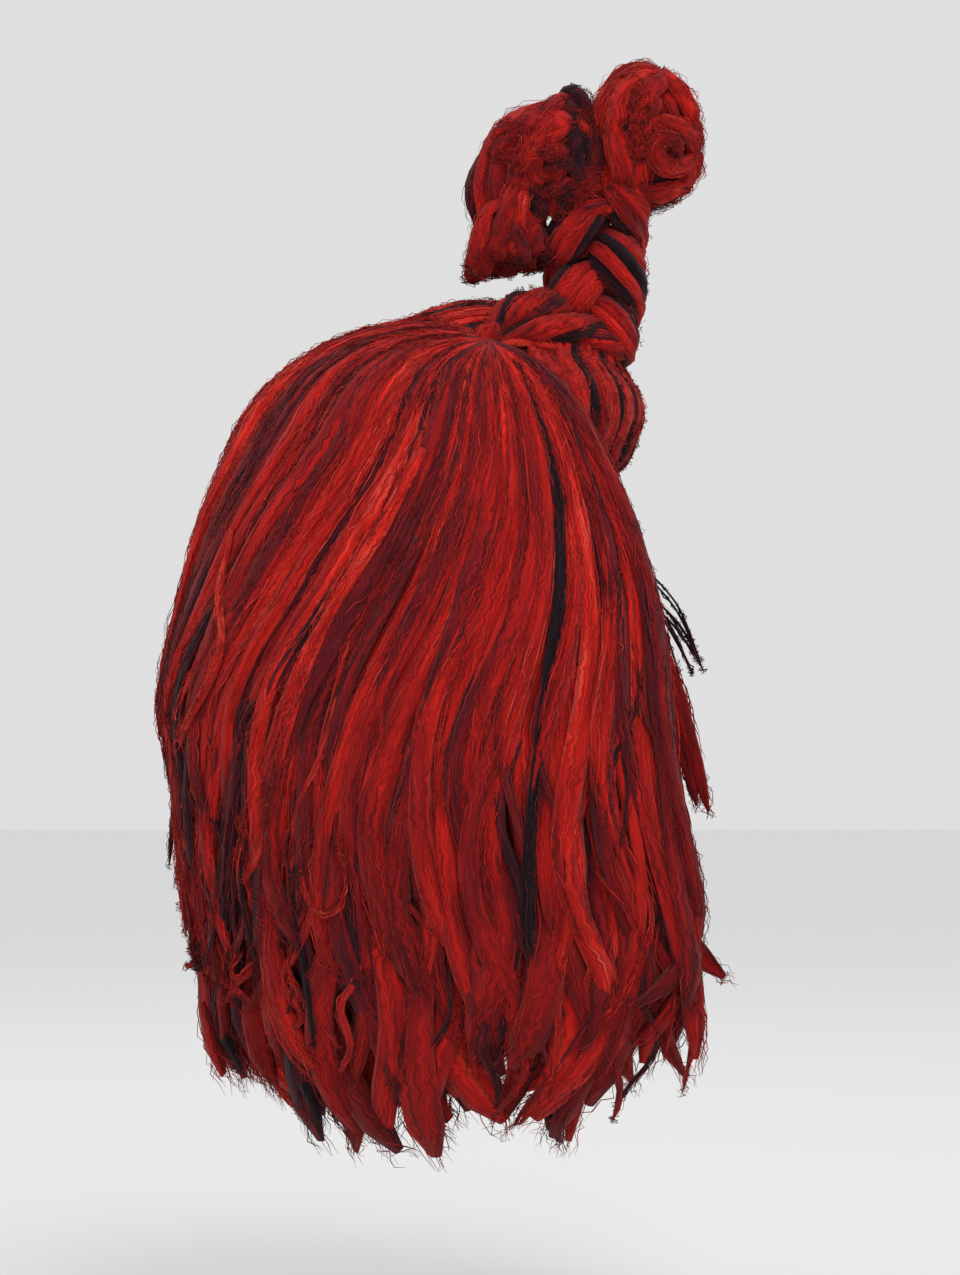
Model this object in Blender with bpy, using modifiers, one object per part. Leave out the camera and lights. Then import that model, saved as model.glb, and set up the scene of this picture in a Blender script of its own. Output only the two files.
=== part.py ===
# Costume wig: a net cap with thick wool-like hair, gathered at two knots, with a plaited topknot.
# Metres, +Z up. The wearer faces -Y, and the wearer's left is +X. The origin is the middle of the
# head opening at hat-size height, where a head holds the wig.
import bpy
import bmesh
import math
import numpy as np
from mathutils import Vector

# cap, which is the head's fit
cap_half_length = 0.085
cap_half_width = 0.075
cap_height = 0.079
cap_centre_y = 0.0085
cap_wall = 0.0012
nape_drop = 0.092
nape_taper = 0.20
tab_drop = 0.050
tab_bearings = (70, 90)
rim_bearings = (0, 45, 70, 95, 115, 135, 150, 180)
rim_heights = (-0.002, 0.004, 0.010, 0.016, 0.0, -0.60 * nape_drop, -0.91 * nape_drop, -nape_drop)
band_width = 0.012
band_wall = 0.0010
seam_gap = 0.0004
tape_gap = 0.0014            # room for the facets of two curved pieces that lie together
weft_rows = {"nape": (-0.070, 26), "low": (-0.034, 46), "mid": (0.012, 74), "high": (0.046, 100)}
weft_height = 0.006
weft_wall = 0.0014
weft_lift = 0.0019

# size adjusters at the nape: a hook on an elastic strap, and the tape of loops it moves along
strap_height = 0.006
strap_z = -0.066
strap_wall = 0.0012
loop_tape_height = 0.010
hook_bearing = 148.0
hook_inside = 0.0085
hook_turn = 14.0
hook_wire = 0.0007
hook_outline = ((-0.006, 0.004), (0.004, 0.004), (0.006, 0.002), (0.006, -0.002),
                (0.004, -0.004), (-0.001, -0.004), (-0.001, -0.0015))

# hair mass
hair_lift = 0.0045          # room between the cap and the hair, which holds the weft tracks
crown_height = 0.088
back_reach = 0.223
front_reach = 0.127
side_reach = 0.150
hair_drop = 0.455
lock_drop = 0.475           # the narrow lock at the front lower edge
layer_heights = (0.0, -0.110, -0.220, -0.389, -0.571, -0.725, -0.879, -1.0)
back_profile = (0.776, 0.870, 0.906, 1.0, 0.928, 0.861, 0.798, 0.61)
front_profile = (0.433, 0.661, 0.764, 0.827, 0.906, 1.0, 0.984, 0.60)
side_profile = (0.767, 0.853, 0.913, 0.98, 1.0, 1.0, 0.94, 0.76)
front_bearing = 60.0        # degrees from straight ahead to the front edge of the curtains
edge_slant = 36.0           # how far that edge moves back on its way up to the crown
dome_power = 1.6
bearing_gap = 0.35          # degrees between neighbouring sectors
outer_layer = (0.57, 1.0)   # where the layers lie, as shares of the hair's thickness
under_layer = (0.07, 0.54)
crown_bearings = (122, 238)  # where the side and crown hair meet
nape_bearings = (127, 233)
tip_length = 0.055
tip_pinch = 0.6             # how much of its thickness a sector loses at its tip
tip_narrowing = 0.12        # and of its width, on each side
# Each sector: its bearings, and its drop as a share of hair_drop.
side_curtains = {"front": (60, 82, 0.890), "middle": (82, 104, 0.835), "rear": (104, 124, 0.813)}
back_curtains = {"right": (128, 162, 0.818), "middle": (162, 198, 0.868), "left": (198, 232, 0.818)}
under_layers = {"front": (60, 72, 0.868), "rear": (88, 124, 0.945)}
long_lock_bearings = (72, 88)
nape_layers = {"right": (128, 180), "left": (180, 232)}
face_lock_bearing = 302.0
face_lock_z = -0.085
face_lock_drop = 0.165
face_lock_reach = 0.036
face_lock_radius = 0.008

# front hair, swept up over the brow
front_depth = 0.010
front_low = -0.014
front_levels = (0.975, 0.93, 0.85, 0.70, 0.55, 0.38, 0.20, 0.06, 0.0, front_low)
front_bulge = (0.4, 0.5, 0.55, 0.7, 1.0, 1.1, 1.15, 1.0, 0.7, 0.35)

# knots, and the bundles that run from them to the plait
knot_y = -0.012
knot_z = 0.056
knot_radius = 0.0085
bundle_radius = 0.0095
bundle_set_back = 0.018
bundle_end_x = 0.0125
bundle_end_gap = 0.0144     # behind the plait's tie
bundle_end_rise = 0.021

# hinges of the free lengths
side_hinge_z = -0.060
back_hinge_z = -0.098
side_hinge_x = 0.1115
back_hinge_y = 0.132
side_swing = 25.0
back_swing = 20.0
swing_spare = 3.0

# topknot
stem_y = -0.062
stem_lean = -0.004
stem_foot = 0.074
foot_slope = 0.55           # the plait's foot is cut to the slope of the head below it
stem_top = 0.150
strand_radius = 0.0076
plait_half_width = 0.0108 + 2 * strand_radius
plait_half_depth = 0.0028 + 2 * strand_radius
plait_turns = 0.62
plait_steps = 20
plait_pivot_rise = 0.0045   # of the plait's pivot over its foot
tie_wire = 0.0028
tie_shares = {"foot": 0.06, "top": 0.94}
tie_room = {"foot": 0.0044, "top": 0.0028}
puff_centre = (0.0, -0.098, 0.1975)
puff_half = (0.036, 0.034, 0.0455)
tuft_spine = ((0.0, -0.040, 0.163), (0.0, -0.030, 0.196), (0.0, -0.006, 0.188),
              (0.0, 0.004, 0.150), (0.0, -0.004, 0.108))
tuft_radii = (0.010, 0.022, 0.026, 0.025, 0.018, 0.008)
puff_pivot = (0.0, -0.080, 0.150)
tuft_pivot = (0.0, -0.045, 0.152)

linear_colours = {
    "bright_red": (0.52, 0.020, 0.016),
    "red": (0.36, 0.013, 0.013),
    "deep_red": (0.16, 0.008, 0.012),
    "maroon": (0.075, 0.008, 0.014),
    "black_net": (0.012, 0.010, 0.012),
    "black_elastic": (0.018, 0.016, 0.018),
    "tape": (0.05, 0.045, 0.045),
    "steel": (0.55, 0.55, 0.56),
}

for old in list(bpy.data.objects):
    bpy.data.objects.remove(old, do_unlink=True)

wig = bpy.data.collections.new("costume_wig")
bpy.context.scene.collection.children.link(wig)


def add_material(name, colour, roughness, metallic=0.0):
    material = bpy.data.materials.new(name + "_material")
    material.use_nodes = True
    shader = material.node_tree.nodes["Principled BSDF"]
    shader.inputs["Base Color"].default_value = (*linear_colours[colour], 1.0)
    shader.inputs["Roughness"].default_value = roughness
    shader.inputs["Metallic"].default_value = metallic
    return material


def add_pivot(name, place):
    """An empty on a joint's axis, for the pieces that move with it."""
    pivot = bpy.data.objects.new(name, None)
    pivot.location = place
    pivot.empty_display_size = 0.02
    wig.objects.link(pivot)
    return pivot


def hang(pivot, *pieces):
    """Makes pieces children of a pivot, where they are."""
    for piece in pieces:
        piece.parent = pivot
        piece.location = piece.location - pivot.location


def keep(thing, name, colour, roughness=0.75, metallic=0.0):
    """Names an object, gives it its own material and puts it in the wig's collection."""
    thing.name = name
    thing.data.name = name
    thing.data.materials.clear()
    thing.data.materials.append(add_material(name, colour, roughness, metallic))
    for old in list(thing.users_collection):
        old.objects.unlink(thing)
    wig.objects.link(thing)
    return thing


def loft(name, rings, colour, roughness=0.75):
    """One closed body through rings of equal point count, capped at both ends."""
    mesh = bmesh.new()
    rows = [[mesh.verts.new(point) for point in ring] for ring in rings]
    count = len(rows[0])
    for upper, lower in zip(rows, rows[1:]):
        for i in range(count):
            j = (i + 1) % count
            # The shorter diagonal, so that two pieces side by side fold the same way.
            if (upper[i].co - lower[j].co).length < (upper[j].co - lower[i].co).length:
                mesh.faces.new((upper[i], upper[j], lower[j]))
                mesh.faces.new((upper[i], lower[j], lower[i]))
            else:
                mesh.faces.new((upper[i], upper[j], lower[i]))
                mesh.faces.new((upper[j], lower[j], lower[i]))
    mesh.faces.new(rows[0][::-1])
    mesh.faces.new(rows[-1])
    bmesh.ops.triangulate(mesh, faces=[face for face in mesh.faces if len(face.verts) > 4])
    bmesh.ops.recalc_face_normals(mesh, faces=mesh.faces)
    data = bpy.data.meshes.new(name)
    mesh.to_mesh(data)
    mesh.free()
    data.shade_smooth()
    data.set_sharp_from_angle(angle=math.radians(50))
    return keep(bpy.data.objects.new(name, data), name, colour, roughness)


def tube(name, points, radii, colour, sides=3, cyclic=False, roughness=0.75, metallic=0.0):
    """A round bar along points, as wide as radii says at each of them."""
    curve = bpy.data.curves.new(name, "CURVE")
    curve.dimensions = "3D"
    curve.bevel_depth = 1.0
    curve.bevel_resolution = sides
    curve.use_fill_caps = not cyclic
    spline = curve.splines.new("POLY")
    spline.points.add(len(points) - 1)
    for place, point, radius in zip(spline.points, points, radii):
        place.co = (*point, 1.0)
        place.radius = radius
    spline.use_cyclic_u = cyclic
    return keep(bpy.data.objects.new(name, curve), name, colour, roughness, metallic)


# ---- the two skins that every piece of hair lies between ----
# A level is a share of the crown's height above the hat line, or metres below it.

heights = np.array(layer_heights) * hair_drop
outer_back = np.array(back_profile) * back_reach
outer_front = np.array(front_profile) * -front_reach
outer_side = np.array(side_profile) * side_reach
inner_back_offset = np.array([0.0, -0.004, -0.009, -0.006, -0.002, 0.0, 0.0, -0.010])
inner_front_offset = np.array([0.0, -0.024, -0.034, -0.040, -0.045, -0.048, -0.040, -0.010])
inner_side_offset = np.array([0.0, 0.001, 0.003, 0.006, 0.010, 0.012, 0.010, 0.0])
front_share = math.cos(math.radians(front_bearing))


def at_height(values, z):
    return float(np.interp(-z, -heights, values))


def skins(bearing, level):
    """The hair's inner and outer points at a bearing in degrees, clockwise seen from above."""
    turn = math.radians(bearing)
    lift = max(level, 0.0)
    z = min(level, 0.0)
    flat = math.sqrt(max(1.0 - lift * lift, 0.0))
    inner_back = cap_centre_y + cap_half_length + hair_lift + at_height(inner_back_offset, z)
    half = cap_half_length + hair_lift
    inner_front = cap_centre_y - half * front_share + at_height(inner_front_offset, z)
    inner_half = (inner_back - inner_front) / (1.0 + front_share)
    inner_side = cap_half_width + hair_lift + at_height(inner_side_offset, z)
    inner = Vector((-inner_side * math.sin(turn) * flat,
                    inner_back - inner_half - inner_half * math.cos(turn) * flat,
                    z + (cap_height + hair_lift) * lift))
    wide = flat ** dome_power
    outer_half = (at_height(outer_back, z) - at_height(outer_front, z)) / (1.0 + front_share)
    outer = Vector((-at_height(outer_side, z) * math.sin(turn) * wide,
                    at_height(outer_back, z) - outer_half - outer_half * math.cos(turn) * wide,
                    z + crown_height * lift))
    return inner, outer


def within(bearing, level, share):
    """A point at a share of the hair's thickness, 0 at the cap and 1 outside."""
    inner, outer = skins(bearing, level)
    return inner.lerp(outer, share)


def above_cap(bearing, level, depth):
    """A point at a depth in metres outside the hair's inner skin."""
    inner, outer = skins(bearing, level)
    return inner + (outer - inner).normalized() * depth


def over_cap(side, y, z, depth):
    """A point at a depth outside the cap, square to it, at a place given by its y and z."""
    lengths = Vector((cap_half_width, cap_half_length, cap_height))
    along = (y - cap_centre_y) / cap_half_length
    x = cap_half_width * math.sqrt(1.0 - along ** 2 - (z / cap_height) ** 2)
    square = Vector((-side * x / lengths.x ** 2, (y - cap_centre_y) / lengths.y ** 2, z / lengths.z ** 2))
    return Vector((-side * x, y, z)) + square.normalized() * (depth + hair_lift)


def edge_bearing(level):
    """Where the curtains' front edge is at a level."""
    return front_bearing + edge_slant * math.asin(max(level, 0.0)) / (math.pi / 4) * 0.75


def sector_ring(start, end, near, far, steps, place):
    """A closed ring round a sector: out along its far skin and back along its near one."""
    bearings = [start + (end - start) * i / steps for i in range(steps + 1)]
    out = [place(bearing, far) for bearing in bearings]
    back = [place(bearing, near) for bearing in reversed(bearings)]
    return out + back


crown_levels = [0.9976, 0.97, 0.90, 0.78, 0.62, 0.45, 0.25, 0.0]


def crown_mass(name, start, end, bottom, colour):
    """Hair fixed to the cap, from the crown down to where its free length begins."""
    levels = crown_levels + [bottom * 0.5, bottom + seam_gap]
    rings = []
    for level in levels:
        first = edge_bearing(level) if start is None else start
        last = 360.0 - edge_bearing(level) if end is None else end
        gap = bearing_gap / max(1.0 - max(level, 0.0) ** 2, 0.04) ** 0.5
        rings.append(sector_ring(first + gap, last - gap, 0.0, 1.0, 6,
                                 lambda bearing, share: within(bearing, level, share)))
    return loft(name, rings, colour)


def free_mass(name, hinge, start, end, near, far, tip, colour):
    """Hair that swings: its top slopes away from the hinge, and it thins towards its tip."""
    thin_from = tip + tip_length
    low_levels = [z for z in heights if tip < z < hinge["lowest"]]
    low_levels += [tip + tip_length * share for share in (1.0, 0.45, 0.15, 0.0)]
    rings = []
    for level in [None] + sorted(low_levels, reverse=True):
        thinning = 0.0 if level is None else max(0.0, (thin_from - level) / tip_length) ** 1.5
        middle = (near + far) / 2
        pinch = thinning * tip_pinch
        narrow = (end - start) * tip_narrowing * thinning

        def place(bearing, share):
            height = hinge["top"](within(bearing, hinge["level"], share)) if level is None else level
            return within(bearing, height, share)

        rings.append(sector_ring(start + bearing_gap + narrow, end - bearing_gap - narrow,
                                 near + (middle - near) * pinch, far + (middle - far) * pinch,
                                 6, place))
    return loft(name, rings, colour)


def sloped_top(level, swing, beyond):
    """The height of a swinging piece's top, so that it clears what is above at its full swing."""
    slope = math.tan(math.radians(swing + swing_spare))
    return lambda point: level - seam_gap - 0.0006 - max(beyond(point), 0.0) * slope


lowest_top = 0.06     # how far below its hinge a sloping top may reach
hinges = {
    "right": {"level": side_hinge_z, "lowest": side_hinge_z - lowest_top,
              "top": sloped_top(side_hinge_z, side_swing, lambda p: -p.x - side_hinge_x)},
    "left": {"level": side_hinge_z, "lowest": side_hinge_z - lowest_top,
             "top": sloped_top(side_hinge_z, side_swing, lambda p: p.x - side_hinge_x)},
    "back": {"level": back_hinge_z, "lowest": back_hinge_z - lowest_top,
             "top": sloped_top(back_hinge_z, back_swing, lambda p: p.y - back_hinge_y)},
}

# ---- cap ----


def cap_point(bearing, z, inside):
    """A point on the cap at a height, by how far it is inside the cap's outer face."""
    turn = math.radians(bearing)
    if z > 0:
        size = math.sqrt(max(1.0 - (z / cap_height) ** 2, 0.0))
    else:
        size = 1.0 - nape_taper * (z / nape_drop) ** 2
    return Vector((-(cap_half_width - inside) * math.sin(turn) * size,
                   cap_centre_y - (cap_half_length - inside) * math.cos(turn) * size, z))


def cap_edge(bearing):
    """The height of the cap's rim: level over the brow, up over the ears, down to the nape."""
    away = abs((bearing + 180.0) % 360.0 - 180.0)
    return float(np.interp(away, rim_bearings, rim_heights))


def make_cap():
    """An open dome that takes its wall from Solidify."""
    mesh = bmesh.new()
    around, down = 40, 10
    rows = []
    for j in range(1, down + 1):
        row = []
        for i in range(around):
            bearing = 360.0 * i / around
            low = cap_edge(bearing)
            sink = 1.0 - math.cos(math.pi / 2 * j / down)
            row.append(mesh.verts.new(cap_point(bearing, cap_height + (low - cap_height) * sink, 0.0)))
        rows.append(row)
    top = mesh.verts.new((0.0, cap_centre_y, cap_height))
    for i in range(around):
        k = (i + 1) % around
        mesh.faces.new((top, rows[0][i], rows[0][k]))
        for upper, lower in zip(rows, rows[1:]):
            mesh.faces.new((upper[i], lower[i], lower[k], upper[k]))
    bmesh.ops.recalc_face_normals(mesh, faces=mesh.faces)
    data = bpy.data.meshes.new("net_cap")
    mesh.to_mesh(data)
    mesh.free()
    data.shade_smooth()
    cap = keep(bpy.data.objects.new("net_cap", data), "net_cap", "black_net", 0.9)
    wall = cap.modifiers.new("wall", "SOLIDIFY")
    wall.thickness = cap_wall
    wall.offset = -1.0


def cap_patch(name, start, end, low, high, inside, wall, colour, steps=10, rise=2):
    """A strip of tape on the cap, between two heights given as functions of the bearing."""
    rings = []
    for i in range(steps + 1):
        bearing = start + (end - start) * i / steps
        zs = [low(bearing) + (high(bearing) - low(bearing)) * k / rise for k in range(rise + 1)]
        out = [cap_point(bearing, z, inside) for z in zs]
        back = [cap_point(bearing, z, inside + wall) for z in reversed(zs)]
        rings.append(out + back)
    return loft(name, rings, colour, 0.9)


def make_cap_tapes():
    lining = cap_wall + tape_gap
    cap_patch("front_band", -66, 66, lambda b: cap_edge(b) + 0.001,
              lambda b: cap_edge(b) + 0.001 + band_width, lining, band_wall, "tape", 18)
    cap_patch("nape_elastic", 118, 242, lambda b: cap_edge(b) + 0.002,
              lambda b: cap_edge(b) + 0.002 + band_width * 1.3, lining, band_wall,
              "black_elastic", 20)
    half = (tab_bearings[1] - tab_bearings[0]) / 2
    for side, sign in (("right", 1), ("left", -1)):
        def tab_low(bearing):
            away = abs(abs(bearing) - tab_bearings[0] - half) / half
            return -tab_drop * (1.0 - 0.45 * away ** 2)
        cap_patch(f"ear_tab_{side}", tab_bearings[0] * sign, tab_bearings[1] * sign, tab_low,
                  lambda b: cap_edge(b) + 0.010, lining, band_wall * 1.6, "tape", 8, 5)


def make_weft_tracks():
    """Stitched rows on the outside of the cap, which carry the hair."""
    for name, (row_z, reach) in weft_rows.items():
        cap_patch(f"weft_track_{name}", 180 - reach, 180 + reach, lambda b: row_z,
                  lambda b: row_z + weft_height, -weft_lift, weft_wall, "maroon", 16)


def hook_centre(sign):
    """The middle of the circle that the cap follows along a hook's travel."""
    before, middle, after = [cap_point(hook_bearing * sign + step * sign, strap_z, hook_inside)
                             for step in (0.0, hook_turn / 2, hook_turn)]
    chord, rise = after - before, middle - (before + after) / 2
    radius = (chord.length_squared / 4 + rise.length_squared) / (2 * rise.length)
    return middle - rise.normalized() * radius


def make_adjusters():
    """At each nape corner: an elastic strap that ends in a hook, and the loop tape it holds on to."""
    lining = cap_wall + 2 * tape_gap + band_wall
    for side, sign in (("right", 1), ("left", -1)):
        cap_patch(f"strap_{side}", 128 * sign, 140 * sign, lambda b: strap_z - strap_height / 2,
                  lambda b: strap_z + strap_height / 2, lining, strap_wall, "black_elastic", 6)
        cap_patch(f"loop_tape_{side}", 150 * sign, 172 * sign,
                  lambda b: strap_z - loop_tape_height / 2, lambda b: strap_z + loop_tape_height / 2,
                  lining, band_wall, "tape", 8)
        middle = cap_point(hook_bearing * sign, strap_z, hook_inside)
        along = (cap_point((hook_bearing + 2) * sign, strap_z, hook_inside) - middle).normalized()
        points = [along * a + Vector((0, 0, b)) for a, b in hook_outline]
        hook = tube(f"adjuster_hook_{side}", points, [hook_wire] * len(points), "steel", 2,
                    roughness=0.35, metallic=1.0)
        hook.location = middle
        hang(add_pivot(f"hook_pivot_{side}", hook_centre(sign)), hook)


# ---- hair on the head ----

def make_crown():
    crown_mass("side_hair_right", None, crown_bearings[0], side_hinge_z, "bright_red")
    crown_mass("crown_hair_right", crown_bearings[0], 180, side_hinge_z, "red")
    crown_mass("crown_hair_left", 180, crown_bearings[1], side_hinge_z, "red")
    crown_mass("side_hair_left", crown_bearings[1], None, side_hinge_z, "bright_red")


def make_back_band():
    """The fixed hair between the side hinges' height and the back hinge."""
    levels = [side_hinge_z - seam_gap, (side_hinge_z + back_hinge_z) / 2, back_hinge_z + seam_gap]
    for name, start, end in (("nape_hair_right", nape_bearings[0], 180),
                             ("nape_hair_left", 180, nape_bearings[1])):
        rings = []
        for level in levels:
            rings.append(sector_ring(start + bearing_gap, end - bearing_gap, 0.0, 1.0, 6,
                                     lambda bearing, share: within(bearing, level, share)))
        loft(name, rings, "red")


def make_front():
    """Hair swept up from the brow to the foot of the topknot, in three panels."""
    panels = (("front_hair_right", 0.33, 1.0), ("front_hair_middle", -0.33, 0.33),
              ("front_hair_left", -1.0, -0.33))
    for name, low, high in panels:
        rings = []
        for level, bulge in zip(front_levels, front_bulge):
            reach = edge_bearing(level) - 2.0
            gap = bearing_gap / (1.0 - max(level, 0.0) ** 2) ** 0.5
            rings.append(sector_ring(low * reach + gap, high * reach - gap,
                                     0.0, front_depth * bulge, 6,
                                     lambda bearing, depth: above_cap(bearing, level, depth)))
        loft(name, rings, "red")


def swell(along, thin, thick):
    return thin + (thick - thin) * math.sin(math.pi * along) ** 0.6


def smooth_path(points, steps):
    """Points along a Catmull-Rom curve through the given ones."""
    ends = [points[0]] + list(points) + [points[-1]]
    path = []
    for a, b, c, d in zip(ends, ends[1:], ends[2:], ends[3:]):
        for i in range(steps):
            t = i / steps
            path.append(0.5 * (2 * b + (c - a) * t + (2 * a - 5 * b + 4 * c - d) * t * t
                               + (3 * b - a - 3 * c + d) * t ** 3))
    return path + [points[-1]]


def make_knots():
    for side, sign in (("right", 1), ("left", -1)):
        knot = over_cap(sign, knot_y, knot_z, front_depth * 1.3 + knot_radius)
        mesh = bmesh.new()
        bmesh.ops.create_uvsphere(mesh, u_segments=16, v_segments=10, radius=knot_radius)
        bmesh.ops.scale(mesh, vec=(1.0, 1.15, 1.25), verts=mesh.verts)
        bmesh.ops.translate(mesh, vec=knot, verts=mesh.verts)
        data = bpy.data.meshes.new(f"knot_{side}")
        mesh.to_mesh(data)
        mesh.free()
        data.shade_smooth()
        keep(bpy.data.objects.new(f"knot_{side}", data), f"knot_{side}", "bright_red")


def tie_reach(place):
    """How far a tie's wire lies outside the middles of the plait's strands."""
    return strand_radius + tie_wire + tie_room[place]


def make_bundle(name, side):
    """A twist of hair from a knot to the foot of the topknot."""
    start = over_cap(side, knot_y - bundle_set_back, knot_z + 0.003,
                     front_depth * 1.3 + bundle_radius)
    tie_back = stem_y + plait_half_width + tie_reach("foot") + tie_wire
    end = Vector((side * -bundle_end_x, tie_back + bundle_end_gap, stem_foot + bundle_end_rise))
    middle = (start + end) / 2 + Vector((side * -0.002, -0.002, 0.004))
    points = smooth_path([start, middle, end], 4)
    radii = [bundle_radius * swell(i / (len(points) - 1), 0.55, 1.0) for i in range(len(points))]
    tube(f"bundle_{name}", points, radii, "red", 2)


def plait_point(phase, share):
    """The middle of a strand: it goes side to side while it goes over and under twice as often."""
    turn = 2 * math.pi * plait_turns * share + phase
    aside = plait_half_width * math.sin(turn)
    z = stem_foot + strand_radius + (stem_top - stem_foot - 2 * strand_radius) * share
    return Vector((plait_half_depth * math.sin(2 * turn), stem_y + stem_lean * share + aside,
                   z + foot_slope * aside * (1.0 - share) ** 2))


def make_plait():
    strands = []
    for number in range(3):
        phase = 2 * math.pi * number / 3
        points = [plait_point(phase, i / plait_steps) for i in range(plait_steps + 1)]
        radii = [strand_radius * swell(i / plait_steps, 0.6, 1.0) for i in range(plait_steps + 1)]
        strands.append(tube(f"plait_strand_{number + 1}", points, radii,
                            ("bright_red", "red", "deep_red")[number], 2))
    return strands


def make_tie(place):
    """An elastic round the plait, at its foot or its top."""
    share = tie_shares[place]
    middle = Vector((0.0, stem_y + stem_lean * share, stem_foot + (stem_top - stem_foot) * share))
    half_x, half_y = plait_half_depth + tie_reach(place), plait_half_width + tie_reach(place)
    turns = [2 * math.pi * i / 24 for i in range(24)]
    slope = foot_slope * (1.0 - share) ** 2
    points = [middle + Vector((half_x * math.cos(a), half_y * math.sin(a),
                               half_y * math.sin(a) * slope)) for a in turns]
    return tube(f"tie_{place}", points, [tie_wire] * 24, "black_elastic", 2, cyclic=True,
                roughness=0.85)


def ball(name, middle, half, colour, neck=None, lean=0.0):
    """A rounded mass of hair; below its middle it can draw in to a neck."""
    mesh = bmesh.new()
    bmesh.ops.create_uvsphere(mesh, u_segments=20, v_segments=14, radius=1.0)
    for point in mesh.verts:
        draw = 1.0
        if neck is not None and point.co.z < 0:
            draw = 1.0 - (1.0 - neck) * (-point.co.z) ** 1.5
        low = max(-point.co.z, 0.0)
        point.co = Vector((point.co.x * half[0] * draw,
                           point.co.y * half[1] * draw + lean * low ** 1.5,
                           point.co.z * half[2])) + Vector(middle)
    data = bpy.data.meshes.new(name)
    mesh.to_mesh(data)
    mesh.free()
    data.shade_smooth()
    return keep(bpy.data.objects.new(name, data), name, colour)


def make_tufts():
    puff = ball("front_puff", puff_centre, puff_half, "bright_red", neck=0.8, lean=0.012)
    spine = [Vector(point) for point in tuft_spine]
    points = smooth_path(spine, 4)
    radii = np.interp(np.linspace(0, 1, len(points)), np.linspace(0, 1, len(tuft_radii)), tuft_radii)
    tuft = tube("rear_tuft", points, radii, "red", 4)
    hang(add_pivot("puff_pivot", puff_pivot), puff)
    hang(add_pivot("tuft_pivot", tuft_pivot), tuft)


def mirrored(start, end):
    return 360 - end, 360 - start


def make_side_curtains(side, place, hinge_x):
    """One side's free lengths: outer layers, shorter, over under layers that hang lower."""
    pieces = []
    for name, (start, end, drop) in side_curtains.items():
        colour = "red" if name == "middle" else "bright_red"
        pieces.append(free_mass(f"curtain_{side}_{name}", hinges[side], *place(start, end),
                                *outer_layer, -drop * hair_drop, colour))
    for name, (start, end, drop) in under_layers.items():
        pieces.append(free_mass(f"under_layer_{name}_{side}", hinges[side], *place(start, end),
                                *under_layer, -drop * hair_drop, "deep_red"))
    pieces.append(free_mass(f"long_lock_{side}", hinges[side], *place(*long_lock_bearings),
                            *under_layer, -lock_drop, "deep_red"))
    if side == "left":
        pieces.append(make_face_lock())
    hang(add_pivot(f"curtain_pivot_{side}", (hinge_x, 0.0, side_hinge_z)), *pieces)


def make_back_curtains():
    pieces = []
    for name, (start, end, drop) in back_curtains.items():
        pieces.append(free_mass(f"curtain_back_{name}", hinges["back"], start, end, *outer_layer,
                                -drop * hair_drop, "red"))
    for name, (start, end) in nape_layers.items():
        pieces.append(free_mass(f"nape_layer_{name}", hinges["back"], start, end, *under_layer,
                                -hair_drop, "maroon"))
    hang(add_pivot("curtain_pivot_back", (0.0, back_hinge_y, back_hinge_z)), *pieces)


def make_face_lock():
    """A thin lock that hangs in front of the left curtain's edge."""
    root = within(face_lock_bearing, face_lock_z, 0.86) + Vector((0.0, -face_lock_reach / 3, 0.0))
    steps = [(0.0, 0.0, 0.0), (0.002, 0.33, 0.27), (0.003, 0.67, 0.58), (0.0, 1.0, 1.0)]
    points = smooth_path([root + Vector((x, -y * face_lock_reach, -z * face_lock_drop))
                          for x, y, z in steps], 4)
    radii = [face_lock_radius * swell(i / (len(points) - 1), 0.3, 1.0) for i in range(len(points))]
    return tube("face_lock_left", points, radii, "red", 2)


make_cap()
make_cap_tapes()
make_weft_tracks()
make_adjusters()
make_crown()
make_back_band()
make_front()
make_knots()
make_bundle("right", 1)
make_bundle("left", -1)
make_tie("foot")
stem_pivot = add_pivot("stem_pivot", (0.0, stem_y, stem_foot + plait_pivot_rise))
hang(stem_pivot, *make_plait(), make_tie("top"))
make_tufts()
make_side_curtains("right", lambda start, end: (start, end), -side_hinge_x)
make_side_curtains("left", mirrored, side_hinge_x)
make_back_curtains()
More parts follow.
